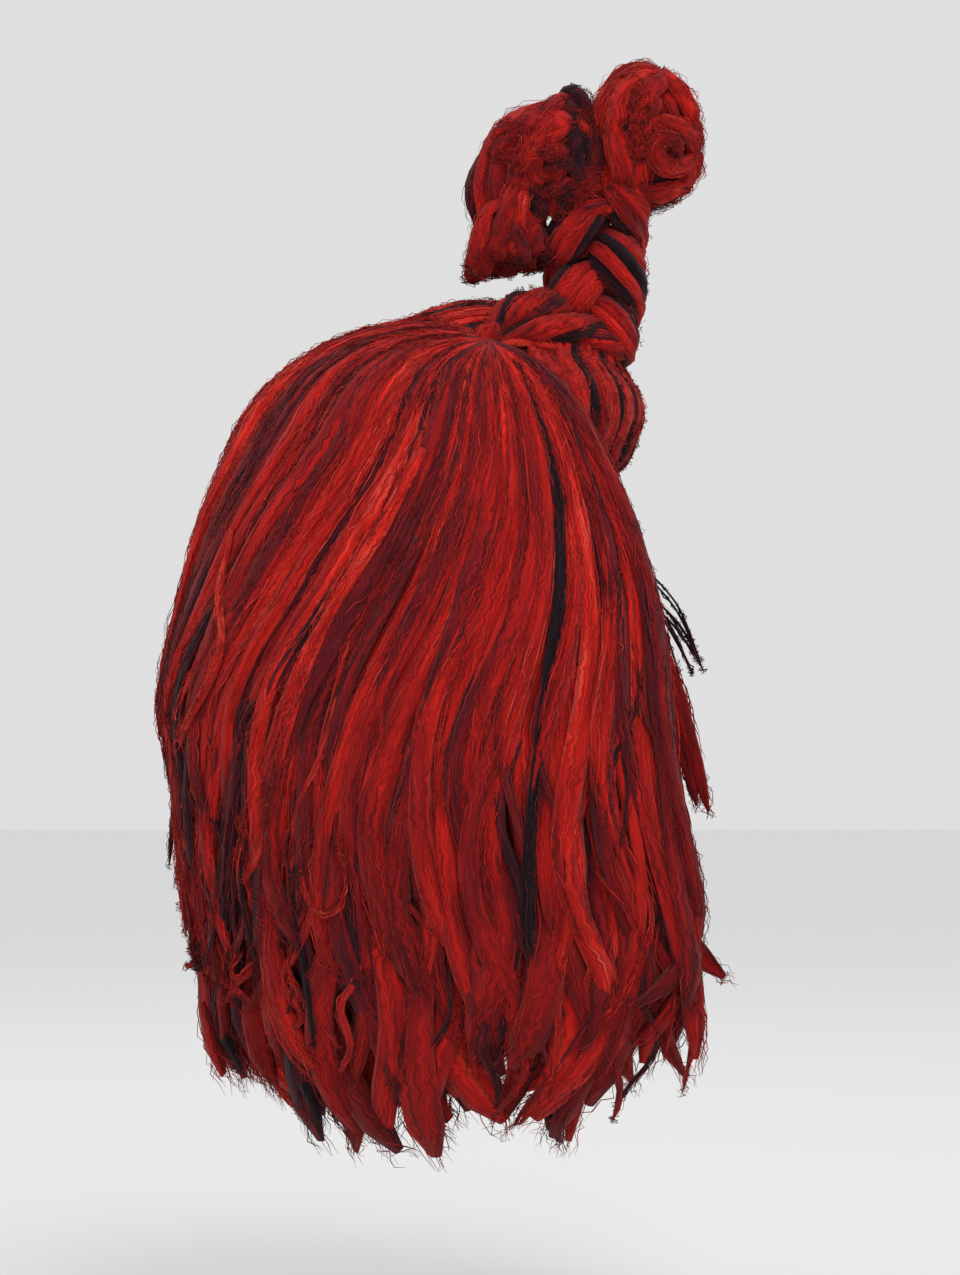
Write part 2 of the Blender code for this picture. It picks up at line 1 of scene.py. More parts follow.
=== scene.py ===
import math
import bpy
import numpy as np
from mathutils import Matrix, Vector


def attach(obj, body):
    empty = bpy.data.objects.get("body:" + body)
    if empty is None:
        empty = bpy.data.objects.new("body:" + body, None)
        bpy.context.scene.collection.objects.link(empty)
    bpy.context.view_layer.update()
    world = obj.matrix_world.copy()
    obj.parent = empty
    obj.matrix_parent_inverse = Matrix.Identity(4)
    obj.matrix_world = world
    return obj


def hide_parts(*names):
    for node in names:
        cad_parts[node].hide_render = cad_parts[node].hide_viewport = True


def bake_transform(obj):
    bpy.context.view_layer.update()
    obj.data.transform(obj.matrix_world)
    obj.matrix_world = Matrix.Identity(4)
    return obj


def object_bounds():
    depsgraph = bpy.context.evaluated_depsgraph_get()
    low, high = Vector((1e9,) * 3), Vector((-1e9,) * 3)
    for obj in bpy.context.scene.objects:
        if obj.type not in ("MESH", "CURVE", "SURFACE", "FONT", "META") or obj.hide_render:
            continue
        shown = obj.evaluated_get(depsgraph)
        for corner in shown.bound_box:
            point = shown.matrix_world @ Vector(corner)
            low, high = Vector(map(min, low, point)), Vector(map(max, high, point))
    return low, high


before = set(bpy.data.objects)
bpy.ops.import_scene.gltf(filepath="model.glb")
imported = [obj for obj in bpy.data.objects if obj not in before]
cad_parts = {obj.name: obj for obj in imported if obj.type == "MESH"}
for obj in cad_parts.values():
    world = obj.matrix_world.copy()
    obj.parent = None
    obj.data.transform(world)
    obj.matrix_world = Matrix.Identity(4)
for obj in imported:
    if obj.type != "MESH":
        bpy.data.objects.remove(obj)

bpy.ops.object.select_all(action="DESELECT")
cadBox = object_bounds()
print("frame loaded")

# camera on the wearer's right, looking along +X
view = {"distance": 2.94, "lens": 85.0, "sensorHeight": 24.0, "across": 0.0104, "height": -0.1284,
        "floorDrop": 0.12, "keyPower": 30, "fillPower": 4, "rimPower": 5, "sky": 0.74}

bpy.ops.object.camera_add(location=(-view["distance"], view["across"], view["height"]),
                          rotation=(math.radians(90), 0, math.radians(-90)))
camera = bpy.context.object
camera.name = "camera"
camera.data.sensor_fit = "VERTICAL"
camera.data.sensor_height = view["sensorHeight"]
camera.data.lens = view["lens"]
camera.data.clip_end = 50
bpy.context.scene.camera = camera
bpy.context.scene.view_settings.view_transform = "Standard"   # keeps the reds pure

paper = bpy.data.materials.new("paperBackdrop")
paper.use_nodes = True
paper.node_tree.nodes["Principled BSDF"].inputs["Base Color"].default_value = (0.9, 0.9, 0.9, 1)
paper.node_tree.nodes["Principled BSDF"].inputs["Roughness"].default_value = 0.9
bpy.ops.mesh.primitive_plane_add(size=16, location=(0, 0, cadBox[0][2] - view["floorDrop"]))
studioFloor = bpy.context.object
studioFloor.name = "studioFloor"
studioFloor.data.materials.append(paper)


def addSoftbox(name, place, size, power):
    bpy.ops.object.light_add(type="AREA", location=place)
    box = bpy.context.object
    box.name = name
    box.data.shape = "DISK"
    box.data.size = size
    box.data.energy = power
    box.rotation_euler = (Vector((0, 0.02, -0.1)) - Vector(place)).to_track_quat("-Z", "Y").to_euler()


addSoftbox("keySoftbox", (-1.9, -0.6, 2.1), 1.4, view["keyPower"])
addSoftbox("fillSoftbox", (-1.6, 2.2, 0.5), 2.0, view["fillPower"])
addSoftbox("rimSoftbox", (2.2, 0.4, 1.6), 1.6, view["rimPower"])
world = bpy.data.worlds.new("studioWorld")
bpy.context.scene.world = world
world.use_nodes = True
world.node_tree.nodes["Background"].inputs["Color"].default_value = (1, 1, 1, 1)
world.node_tree.nodes["Background"].inputs["Strength"].default_value = view["sky"]
print("studio set up")

# The hair hangs between an inner skin, over the cap and neck, and an outer one. Bearings are degrees
# from straight ahead, 180 at the back. The right side is modelled, and the left is its mirror image.
form = {
    "down": [0.0, 0.035, 0.064, 0.104, 0.142, 0.177, 0.224, 0.279, 0.325, 0.378, 0.418, 0.45, 0.48],
    "back": [0.172, 0.187, 0.196, 0.203, 0.215, 0.220, 0.207, 0.203, 0.194, 0.190, 0.176, 0.150, 0.12],
    "front": [-0.055, -0.077, -0.087, -0.097, -0.102, -0.104, -0.110, -0.119, -0.125, -0.124, -0.108,
              -0.080, -0.07],
    "side": [0.114, 0.124, 0.130, 0.136, 0.141, 0.144, 0.147, 0.147, 0.146, 0.142, 0.134, 0.118, 0.10],
    "innerDown": [0.0, 0.1, 0.3], "innerBack": [0.098, 0.090, 0.098],
    "innerFront": [-0.040, -0.066, -0.085], "innerSide": [0.079, 0.082, 0.092],
    "capLength": 0.0895, "capWidth": 0.0795, "capHeight": 0.0835, "capY": 0.0085,
    "crown": 0.0865, "edgeBearing": 60.0, "domePower": 1.6,
}
edgeShare = math.cos(math.radians(form["edgeBearing"]))
fullTurn = 6.28   # radians, near enough


def bearingOf(share):
    # share 0 at the front edge of the hair, 1 straight behind
    return form["edgeBearing"] + (180 - form["edgeBearing"]) * share


def curtainPoint(bearing, z, depth):
    # below the hat line: depth 0 at the neck, 1 at the outer skin
    turn = np.radians(bearing)
    back, front, side = [np.interp(-z, form["down"], form[name]) for name in ("back", "front", "side")]
    inBack, inFront, inSide = [np.interp(-z, form["innerDown"], form[name])
                               for name in ("innerBack", "innerFront", "innerSide")]
    half, inHalf = (back - front) / (1 + edgeShare), (inBack - inFront) / (1 + edgeShare)
    x = -np.sin(turn) * (inSide + (side - inSide) * depth)
    yOut = back - half - half * np.cos(turn)
    yIn = inBack - inHalf - inHalf * np.cos(turn)
    return np.stack([x, yIn + (yOut - yIn) * depth, z + 0 * x], -1)


def domePoint(u, v, depth):
    # over the head: (u, v) is a place in the unit disc seen from above, u to the wearer's right, v back
    reach = np.clip(np.hypot(u, v), 1e-4, 1.0)
    level = np.sqrt(np.clip(1 - reach ** (2 / form["domePower"]), 0, 1))
    flat = reach ** (1 / form["domePower"])
    half = (form["back"][0] - form["front"][0]) / (1 + edgeShare)
    xOut, yOut = -u * form["side"][0], form["back"][0] - half + half * v
    xIn = -u / reach * flat * form["capWidth"]
    yIn = form["capY"] + v / reach * flat * form["capLength"]
    zOut, zIn = form["crown"] * level, form["capHeight"] * level
    return np.stack([xIn + (xOut - xIn) * depth, yIn + (yOut - yIn) * depth,
                     zIn + (zOut - zIn) * depth], -1)


def smoothLine(line, rounds=2):
    line = line.copy()
    for _ in range(rounds):
        line[1:-1] = 0.25 * line[:-2] + 0.5 * line[1:-1] + 0.25 * line[2:]
    return line


def respace(line, count):
    # the same line with evenly spaced points
    along = np.concatenate([[0], np.cumsum(np.linalg.norm(np.diff(line, axis=0), axis=1))])
    wanted = np.linspace(0, along[-1], count)
    return np.stack([np.interp(wanted, along, line[:, i]) for i in range(3)], -1)


def unit(vectors):
    return vectors / np.maximum(np.linalg.norm(vectors, axis=-1, keepdims=True), 1e-9)


def sampleRows(rows, t):
    # rows read at shares t of their length
    at = np.clip(t, 0, 1) * (len(rows) - 1)
    low = np.minimum(at.astype(int), len(rows) - 2)
    part = (at - low)[..., None]
    return rows[low] * (1 - part) + rows[low + 1] * part


def addNode(tree, kind, links=(), **values):
    node = tree.nodes.new(kind)
    for name, value in values.items():
        setattr(node, name, value)
    for socket, value in links:
        if isinstance(value, bpy.types.NodeSocket):
            tree.links.new(value, node.inputs[socket])
        else:
            node.inputs[socket].default_value = value
    return node


def noiseOn(tree, place, stretch, detail):
    stretched = addNode(tree, "ShaderNodeMapping", [(0, place), ("Scale", stretch)]).outputs[0]
    return addNode(tree, "ShaderNodeTexNoise", [("Vector", stretched), ("Scale", 1.0),
                                                ("Detail", detail)]).outputs[0]


def mapped(tree, value, low, high, to):
    return addNode(tree, "ShaderNodeMapRange", [(0, value), (1, low), (2, high), (3, to[0]),
                                                (4, to[1])]).outputs[0]


def combined(tree, operation, first, second):
    return addNode(tree, "ShaderNodeMath", [(0, first), (1, second)], operation=operation).outputs[0]


# colour stops and fibre marks for the hair; the tip values paint shade onto the lower hair
hairColours = {
    "stops": [(0.0, (0.010, 0.004, 0.008)), (0.12, (0.020, 0.004, 0.009)), (0.25, (0.070, 0.005, 0.012)),
              (0.40, (0.15, 0.006, 0.010)), (0.55, (0.27, 0.006, 0.007)), (0.70, (0.43, 0.008, 0.006)),
              (0.84, (0.57, 0.012, 0.007)), (0.93, (0.64, 0.020, 0.012)), (1.0, (0.68, 0.055, 0.035))],
    # the streak range scales the colour: fibre-to-fibre colour variation, with painted shade between fibres
    # at its dark end
    "drift": 0.30, "strands": 0.44, "fibreStreakAndGapShade": (0.38, 1.50), "crimp": 0.0042,
    "paintedTipShade": (0.66, 0.60, 0.62), "paintedShadeFrom": 0.3, "roughness": 0.82, "specular": 0.12, "bump": 1.0,
    "bumpDepth": 0.0012, "sheen": 0.12, "sheenRoughness": 0.5, "sheenTint": (1.0, 0.62, 0.58),
}


def makeHairMaterial():
    # colour by U, from near-black to bright red, and along V a painted shade that darkens the hair from root
    # to tip
    material = bpy.data.materials.new("wigFibre")
    material.use_nodes = True
    tree = material.node_tree
    shader = tree.nodes["Principled BSDF"]
    uv = addNode(tree, "ShaderNodeUVMap", uv_map="OFBake").outputs[0]
    split = addNode(tree, "ShaderNodeSeparateXYZ", [(0, uv)])
    across, along = split.outputs[0], split.outputs[1]
    crimp, drift, strands = hairColours["crimp"], hairColours["drift"], hairColours["strands"]
    # the fibres waver sideways along their length
    waver = mapped(tree, noiseOn(tree, uv, (26, 75, 1), 1.0), 0.2, 0.8, (-crimp, crimp))
    crimped = combined(tree, "ADD", across, waver)
    crimped = addNode(tree, "ShaderNodeCombineXYZ", [(0, crimped), (1, along)]).outputs[0]
    slow = mapped(tree, noiseOn(tree, uv, (14, 3.2, 1), 2.0), 0.25, 0.75, (-drift / 2, drift / 2))
    strand = mapped(tree, noiseOn(tree, crimped, (95, 5, 1), 2.0), 0.25, 0.75,
                    (-strands * 0.6, strands * 0.4))
    place = combined(tree, "ADD", combined(tree, "ADD", across, slow), strand)
    ramp = addNode(tree, "ShaderNodeValToRGB", [(0, place)])
    elements = ramp.color_ramp.elements
    elements[0].position, elements[0].color = 0.0, (*hairColours["stops"][0][1], 1)
    elements[1].position, elements[1].color = 1.0, (*hairColours["stops"][-1][1], 1)
    for at, colour in hairColours["stops"][1:-1]:
        elements.new(at).color = (*colour, 1)
    # fine noise along the fibres multiplies the colour: the fibres' own lighter and darker streaks, and at
    # its dark end painted shade in the gaps between fibres
    fine = noiseOn(tree, crimped, (330, 9, 1), 4.0)
    fibreStreakAndGapShade = mapped(tree, fine, 0.3, 0.7, hairColours["fibreStreakAndGapShade"])
    fibreStreakAndGapShade = addNode(tree, "ShaderNodeCombineXYZ", [(0, fibreStreakAndGapShade), (1, fibreStreakAndGapShade), (2, fibreStreakAndGapShade)]).outputs[0]
    shaded = addNode(tree, "ShaderNodeMix", [(0, 1.0), (6, ramp.outputs[0]), (7, fibreStreakAndGapShade)],
                     data_type="RGBA", blend_type="MULTIPLY").outputs[2]
    # painted shade: the colour darkens along V towards the tips, standing in for the shade on the lower hair
    ends = addNode(tree, "ShaderNodeValToRGB", [(0, along)])
    ends.color_ramp.elements[0].position = hairColours["paintedShadeFrom"]
    ends.color_ramp.elements[0].color = (1, 1, 1, 1)
    ends.color_ramp.elements[1].position = 1.0
    ends.color_ramp.elements[1].color = (*hairColours["paintedTipShade"], 1)
    shaded = addNode(tree, "ShaderNodeMix", [(0, 1.0), (6, shaded), (7, ends.outputs[0])],
                     data_type="RGBA", blend_type="MULTIPLY").outputs[2]
    tree.links.new(shaded, shader.inputs["Base Color"])
    bump = addNode(tree, "ShaderNodeBump", [("Height", fine), ("Strength", hairColours["bump"]),
                                            ("Distance", hairColours["bumpDepth"])])
    tree.links.new(bump.outputs[0], shader.inputs["Normal"])
    shader.inputs["Roughness"].default_value = hairColours["roughness"]
    shader.inputs["Specular IOR Level"].default_value = hairColours["specular"]
    shader.inputs["Sheen Weight"].default_value = hairColours["sheen"]
    shader.inputs["Sheen Roughness"].default_value = hairColours["sheenRoughness"]
    shader.inputs["Sheen Tint"].default_value = (*hairColours["sheenTint"], 1)
    return material


wigFibre = makeHairMaterial()


def weave(name, tubes):
    # one mesh from batches of closed tubes, each (rings, u across, v along)
    vertices, corners, sizes, uvs = [], [], [], []
    offset = 0
    for rings, u, v in tubes:
        count, points, sides, _ = rings.shape
        vertices.append(rings.reshape(-1, 3))
        index = offset + np.arange(count * points * sides).reshape(count, points, sides)
        after = np.roll(index, -1, axis=2)
        quads = np.stack([index[:, :-1], after[:, :-1], after[:, 1:], index[:, 1:]], -1)
        corners.append(quads.ravel())
        sizes.append(np.full(quads.size // 4, 4))
        left = np.broadcast_to(u[:, None, :-1], (count, points - 1, sides))
        right = np.broadcast_to(u[:, None, 1:], (count, points - 1, sides))
        low = np.broadcast_to(v[:, :-1, None], (count, points - 1, sides))
        high = np.broadcast_to(v[:, 1:, None], (count, points - 1, sides))
        uvs.append(np.stack([left, low, right, low, right, high, left, high], -1).reshape(-1, 2))
        for row, step in ((0, -1), (points - 1, 1)):
            corners.append(index[:, row, ::step].ravel())
            sizes.append(np.full(count, sides))
            inset = np.where(np.arange(sides) % 2, 0.004, 0.0) * (1 if row == 0 else -1)
            uvs.append(np.stack([u[:, :-1][:, ::step], v[:, row, None] + inset[None, :]], -1).reshape(-1, 2))
        offset += count * points * sides
    vertices, corners, sizes = np.concatenate(vertices), np.concatenate(corners), np.concatenate(sizes)
    mesh = bpy.data.meshes.new(name)
    mesh.vertices.add(len(vertices))
    mesh.vertices.foreach_set("co", vertices.astype(np.float32).ravel())
    mesh.loops.add(len(corners))
    mesh.loops.foreach_set("vertex_index", corners.astype(np.int32))
    mesh.polygons.add(len(sizes))
    mesh.polygons.foreach_set("loop_start", (np.cumsum(sizes) - sizes).astype(np.int32))
    bakeMap = mesh.uv_layers.new(name="OFBake")
    bakeMap.uv.foreach_set("vector", np.clip(np.concatenate(uvs), 0, 1).astype(np.float32).ravel())
    mesh.update(calc_edges=True)
    mesh.shade_smooth()
    mesh.materials.append(wigFibre)
    piece = bpy.data.objects.new(name, mesh)
    bpy.context.scene.collection.objects.link(piece)
    print(f"{name}: {int((sizes - 2).sum())} triangles")
    return piece


def fibreTubes(lines, halfWidths, shades, v):
    # thin three-sided fibres along lines (count, points, 3)
    tangent = unit(np.gradient(lines, axis=1))
    helper = unit(np.stack([np.sin(shades * 97.0), np.cos(shades * 61.0), 0.35 + 0 * shades], -1))
    across = unit(np.cross(tangent, helper[:, None, :]))
    out = np.cross(tangent, across)
    rings = np.stack([lines + halfWidths[..., None] * (across * math.cos(a) + out * math.sin(a))
                      for a in (0.5, 0.5 + 2 * math.pi / 3, 0.5 + 4 * math.pi / 3)], 2)
    width = 0.003
    u = shades[:, None] * (1 - width) + np.linspace(0, width, 4)[None, :]
    return rings, u, np.broadcast_to(v, lines.shape[:2])


def frameOf(guide, outward):
    tangent = unit(np.gradient(guide, axis=0))
    side = unit(np.cross(tangent, outward))
    return side, np.cross(side, tangent)


lockStyle = {
    "sides": 14, "ridge": 0.15, "ridges": (2, 4, 7), "coreEnd": 0.98,
    "at": [0, 0.05, 0.2, 0.5, 0.85, 0.95, 1], "swell": [0.25, 0.5, 0.85, 1.0, 1.1, 1.05, 0.75],
    "swellWave": 0.10, "ridgeNoise": 0.03, "taperAt": [0, 0.95, 0.985, 1], "taper": [1, 1, 0.8, 0.35],
    "uSpan": 0.10, "twist": 0.7,
    "wisps": 22, "wispHalf": 0.00048, "wispLength": (0.08, 0.26), "wispPoints": 8, "wispLift": 1.10,
    "wispCurl": 0.0016, "fuzz": 105, "fuzzHalf": 0.00024, "fuzzLength": (0.020, 0.07), "fuzzPoints": 5,
    "fuzzReach": 0.0028, "fuzzCurl": 0.0018, "fuzzFrom": 0.03, "fray": 9, "frayPoints": 6, "frayCurl": 0.0035,
}


def makeLock(rng, guide, outward, width, thickness, tint, style=lockStyle, **changes):
    # a soft flattened lock: its body, then wisps and fine fuzz that lie on it, and a frayed end
    style = {**style, **changes}
    side, out = frameOf(guide, outward)
    points, sides = len(guide), style["sides"]
    t = np.linspace(0, 1, points)
    wave = np.sin(fullTurn * (rng.uniform(1.5, 3.0) * t + rng.uniform()))
    swell = np.interp(t, style["at"], style["swell"]) * (1 + style["swellWave"] * wave)
    halfWidth, halfThick = width * swell, thickness * swell
    turn = -math.pi / 2 + 2 * math.pi * np.arange(sides) / sides
    ridge = np.ones((points, sides))
    for number in style["ridges"]:
        phase = rng.uniform(0, fullTurn) \
            + rng.choice([-1, 1]) * style["twist"] * fullTurn * t * rng.uniform(0.3, 1)
        ridge += style["ridge"] * rng.uniform(0.4, 1) * np.cos(number * turn[None] + phase[:, None])
    ridge += rng.normal(0, style["ridgeNoise"], ridge.shape)
    ring = (guide[:, None] + (halfWidth[:, None] * np.cos(turn)[None] * ridge)[..., None] * side[:, None]
            + (halfThick[:, None] * np.sin(turn)[None] * ridge)[..., None] * out[:, None])
    coreT = t * style["coreEnd"]
    ring = sampleRows(ring.reshape(points, -1), coreT).reshape(points, sides, 3)
    tight = np.interp(t, style["taperAt"], style["taper"])
    middle = ring.mean(axis=1, keepdims=True)
    ring = middle + (ring - middle) * tight[:, None, None]
    u = tint + style["uSpan"] * (np.arange(sides + 1) / sides - 0.5)
    made = [(ring[None], np.clip(u, 0, 1)[None], coreT[None])]

    def laid(count, starts, lengths, pointCount, lift, wander, curl, half, tintSpread, tintShift):
        # fibres along the outer half of the body; a lift of (reach, rate) raises them off it
        along = np.linspace(0, 1, pointCount)
        s = np.clip(starts[:, None] + lengths[:, None] * along[None], 0, 1)
        angle = rng.uniform(-0.25, math.pi + 0.25, count)[:, None] \
            + wander * rng.normal(0, 1, (count, 1)) * along[None]
        w, h = np.interp(s, t, halfWidth), np.interp(s, t, halfThick)
        lifted, extra = lift, 0
        if not np.isscalar(lift):
            lifted = 1
            extra = lift[0] * np.sin(np.linspace(0.05, 1, pointCount) * lift[1])[None] \
                * rng.uniform(0.2, 1, (count, 1))
        line = (sampleRows(guide, s) + (np.cos(angle) * w * lifted)[..., None] * sampleRows(side, s)
                + (np.sin(angle) * h * lifted + extra)[..., None] * sampleRows(out, s))
        for axis in (side, out):
            rate = rng.uniform(0.8, 2.6, (count, 1))
            size = curl * rng.uniform(0.3, 1, (count, 1))
            bend = size * np.sin(fullTurn * (rate * along[None] + rng.uniform(0, 1, (count, 1))))
            line = line + bend[..., None] * sampleRows(axis, s)
        halves = half * rng.uniform(0.7, 1.3, (count, 1)) \
            * np.interp(along, [0, 0.15, 0.7, 1], [0.3, 1, 0.9, 0.25])[None]
        shades = np.clip(tint + tintShift + rng.normal(0, tintSpread, count), 0.0, 1.0)
        made.append(fibreTubes(line, halves, shades, np.clip(s, 0, 1)))

    count = style["wisps"]
    if count:
        lengths = rng.uniform(*style["wispLength"], count)
        laid(count, rng.uniform(0.02, 1, count) * (1 - lengths), lengths, style["wispPoints"],
             style["wispLift"], 0.5, style["wispCurl"], style["wispHalf"], 0.12, 0.02)
    count = style["fray"]
    if count:
        starts = rng.uniform(0.86, 0.97, count)
        laid(count, starts, 1 - starts, style["frayPoints"], 0.95, 1.6, style["frayCurl"],
             style["wispHalf"] * 0.7, 0.10, 0.0)
    count = style["fuzz"]
    if count:
        lengths = rng.uniform(*style["fuzzLength"], count)
        laid(count, rng.uniform(style["fuzzFrom"], 1, count) * (1 - lengths), lengths, style["fuzzPoints"],
             (style["fuzzReach"], 2.6), 0.7, style["fuzzCurl"], style["fuzzHalf"], 0.14, 0.08)
    return made


def through(points, count):
    # a smooth line through points
    points = np.array(points, float)
    dense = []
    ends = np.concatenate([points[:1], points, points[-1:]])
    for a, b, c, d in zip(ends, ends[1:], ends[2:], ends[3:]):
        t = np.linspace(0, 1, 12, endpoint=False)[:, None]
        dense.append(0.5 * (2 * b + (c - a) * t + (2 * a - 5 * b + 4 * c - d) * t * t
                            + (3 * b - a - 3 * c + d) * t ** 3))
    return respace(np.concatenate(dense + [points[-1:]]), count)


def mirrorLock(lock):
    return [(rings[..., ::-1, :] * np.array([-1, 1, 1]), u[:, ::-1], v) for rings, u, v in lock]


def pickTint(rng, weights=(0.09, 0.11, 0.18, 0.32, 0.30)):
    # near-black, maroon, deep red, red, bright red
    return rng.choice([0.08, 0.28, 0.47, 0.67, 0.84], p=weights) + rng.uniform(-0.05, 0.05)


# the locks that are combed from the two side knots, over the head and down
combing = {
    "knotLevel": 0.70, "knotBearing": 79.0, "points": 25, "fan": 7.0, "lateFan": 1.5, "fanLevel": 0.24,
    "lowLevel": -0.4, "bearings": (58.5, 184), "hookFrom": 0.82,
    "outer": {"locks": 56, "depths": (0.96, 0.88, 0.76), "flare": (0.97, 0.93, 0.90), "width": 0.0068,
              "thickness": 0.0044},
    "under": {"locks": 28, "depths": (0.60, 0.36, 0.12), "flare": (0.93, 0.74, 0.34), "width": 0.0095,
              "thickness": 0.0056},
    "tipAt": [60, 66, 72, 74, 78, 82, 86, 90, 96, 104, 106, 118, 132, 141, 147, 152, 165, 180],
    "underTips": [-0.395, -0.408, -0.418, -0.455, -0.474, -0.462, -0.432, -0.412, -0.427, -0.432, -0.452,
                  -0.457, -0.455, -0.461, -0.452, -0.430, -0.424, -0.418],
    "outerTips": [-0.385, -0.39, -0.40, -0.41, -0.41, -0.41, -0.40, -0.40, -0.40, -0.39, -0.39, -0.375,
                  -0.36, -0.35, -0.34, -0.33, -0.32, -0.31],
}
knotReach = (1 - combing["knotLevel"] ** 2) ** (form["domePower"] / 2)
knotU = knotReach * math.sin(math.radians(combing["knotBearing"]))
knotV = -knotReach * math.cos(math.radians(combing["knotBearing"]))


def fanned(share, z):
    # locks spread backwards as they fall: a place along the hat line gives one further back lower down
    level = combing["fanLevel"]
    power = 1 + combing["fan"] * np.minimum(-z, level) + combing["lateFan"] * np.maximum(-z - level, 0)
    return 1 - (1 - share) ** power


def lowBearing(share):
    # the bearing a lock has fanned out to near its tip
    return bearingOf(float(fanned(share, np.array(combing["lowLevel"]))))


def combedGuide(rng, share, depth, flare, tip, count, wave, rootDepth=1.0):
    turn = math.radians(bearingOf(share))
    endU, endV = math.sin(turn), -math.cos(turn)
    pull = 0.9 * share ** 1.2
    midU = (knotU + endU) / 2 * (1 - pull) - 0.02 * pull
    midV = (knotV + endV) / 2 * (1 - pull) + 0.15 * pull
    t = np.linspace(0, 1, 16)
    u = (1 - t) ** 2 * knotU + 2 * t * (1 - t) * midU + t ** 2 * endU
    v = (1 - t) ** 2 * knotV + 2 * t * (1 - t) * midV + t ** 2 * endV
    rise = np.interp(t, [0, 0.25, 1], [rootDepth, min(depth + 0.05, rootDepth), depth])
    head = domePoint(u, v, rise)
    z = np.linspace(-0.012, tip, 26)
    sway = wave * np.interp(-z, [0.0, 0.08, 0.2, 0.32, 0.45], [0.0, 0.25, 1.0, 2.2, 3.0])
    phase, rate = rng.uniform(0, fullTurn), rng.uniform(1.0, 2.2)
    bearings = bearingOf(fanned(share, z)) \
        + np.degrees(sway / 0.14) * np.sin(phase + rate * fullTurn * z / -0.45)
    bearings = np.clip(bearings, *combing["bearings"])
    depths = np.interp(-z, [0, 0.24, 0.36], [depth, depth, flare])
    depths = depths + 0.35 * sway / 0.05 * np.sin(phase * 2 + rate * 5.0 * z / -0.45)
    fall = curtainPoint(bearings, z, np.minimum(depths, 1.0))
    # the last stretch curls to one side
    hook = np.clip((np.linspace(0, 1, 26) - combing["hookFrom"]) / 0.18, 0, 1) ** 2
    away = unit(fall[-1] * np.array([1, 1, 0]))
    aside = np.array([-away[1], away[0], 0])
    fall = fall + hook[:, None] * (aside * rng.normal(0, 0.016) + away * rng.normal(-0.005, 0.006)
                                   + np.array([0, 0, abs(rng.normal(0, 0.014))]))
    return smoothLine(respace(np.concatenate([head, fall]), count), 2)


def outwardFrom(line):
    away = line - np.array([0.0, 0.02, 0.0])
    away[:, 2] = np.maximum(away[:, 2], 0.0) * 1.2
    return unit(away)


def combSide(rng, mirror, layer, tipRow, places, depths, rootDepth=1.0):
    made = []
    for depth, flare in zip(depths, layer["flare"]):
        for share in places:
            share = float(np.clip(share + rng.normal(0, 0.004), 0.0, 1.0))
            uneven = 0.024 if tipRow == "outerTips" else 0.008
            tip = np.interp(lowBearing(share), combing["tipAt"], combing[tipRow]) + rng.normal(0, uneven)
            guide = combedGuide(rng, share, depth + rng.normal(0, 0.02), flare + rng.normal(0, 0.03), tip,
                                combing["points"], rng.uniform(0.002, 0.007), rootDepth)
            tint = pickTint(rng)
            scale = rng.uniform(0.45, 0.8) if tint < 0.2 else rng.uniform(0.7, 1.3)
            if depth > 0.9:
                fibres = {}
            elif flare > 0.85:
                fibres = {"sides": 10, "wisps": 7, "fuzz": 18, "fuzzFrom": 0.45, "fray": 7}
            else:
                fibres = {"sides": 10, "wisps": 4, "fuzz": 10, "fray": 8}
            lock = makeLock(rng, guide, outwardFrom(guide), layer["width"] * scale,
                            layer["thickness"] * scale ** 0.5, tint, **fibres)
            made += mirrorLock(lock) if mirror else lock
    return made


def placesBetween(low, high, count):
    # shares at the hat line, half of them even there and half even at the locks' lower ends
    even = np.linspace(0, 1, count // 2)
    power = 1 / (1 + combing["fan"] * combing["fanLevel"])
    lower = 1 - (1 - np.linspace(0, 1, count - count // 2)) ** power
    both = np.sort(np.concatenate([even, lower]))
    return both[(both >= low) & (both < high)]


cuts = (0.0, 0.09, 0.22, 0.42, 0.7, 1.01)
cutNames = ("Front", "Side", "Middle", "Rear", "Crown")


def hangHair(piece, behind):
    # the piece's transform is applied to its mesh, alike for pieces behind and in front
    if behind:
        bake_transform(piece)
    else:
        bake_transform(piece)


coveredBy = {
    "Front": lambda side: (f"curtain_{side}_front", f"side_hair_{side}"),
    "Side": lambda side: (f"curtain_{side}_middle",),
    "Middle": lambda side: (f"curtain_{side}_rear",),
    "Rear": lambda side: (f"curtain_back_{side}", f"nape_hair_{side}"),
    "Crown": lambda side: (f"crown_hair_{side}",) + (("curtain_back_middle",) if side == "right" else ()),
}
for side, mirror, seed in (("right", False, 11), ("left", True, 23)):
    rng = np.random.default_rng(seed)
    for part, low, high in zip(cutNames, cuts, cuts[1:]):
        places = placesBetween(low, high, combing["outer"]["locks"])
        locks = combSide(rng, mirror, combing["outer"], "outerTips", places, combing["outer"]["depths"])
        piece = weave(f"outerHair{part}_{side}", locks)
        hangHair(piece, part in ("Rear", "Crown"))
        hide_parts(*coveredBy[part](side))
print("outer locks combed")

for side, mirror, seed in (("right", False, 31), ("left", True, 43)):
    rng = np.random.default_rng(seed)
    for part, low, high in (("Front", 0.0, 0.30), ("Rear", 0.30, 1.01)):
        places = placesBetween(low, high, combing["under"]["locks"])
        locks = combSide(rng, mirror, combing["under"], "underTips", places, combing["under"]["depths"],
                         rootDepth=0.8)
        piece = weave(f"underHair{part}_{side}", locks)
        hangHair(piece, part == "Rear")
        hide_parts(*((f"nape_layer_{side}",) if part == "Rear" else
                             (f"under_layer_front_{side}", f"long_lock_{side}", f"under_layer_rear_{side}")))
print("under layers hung")

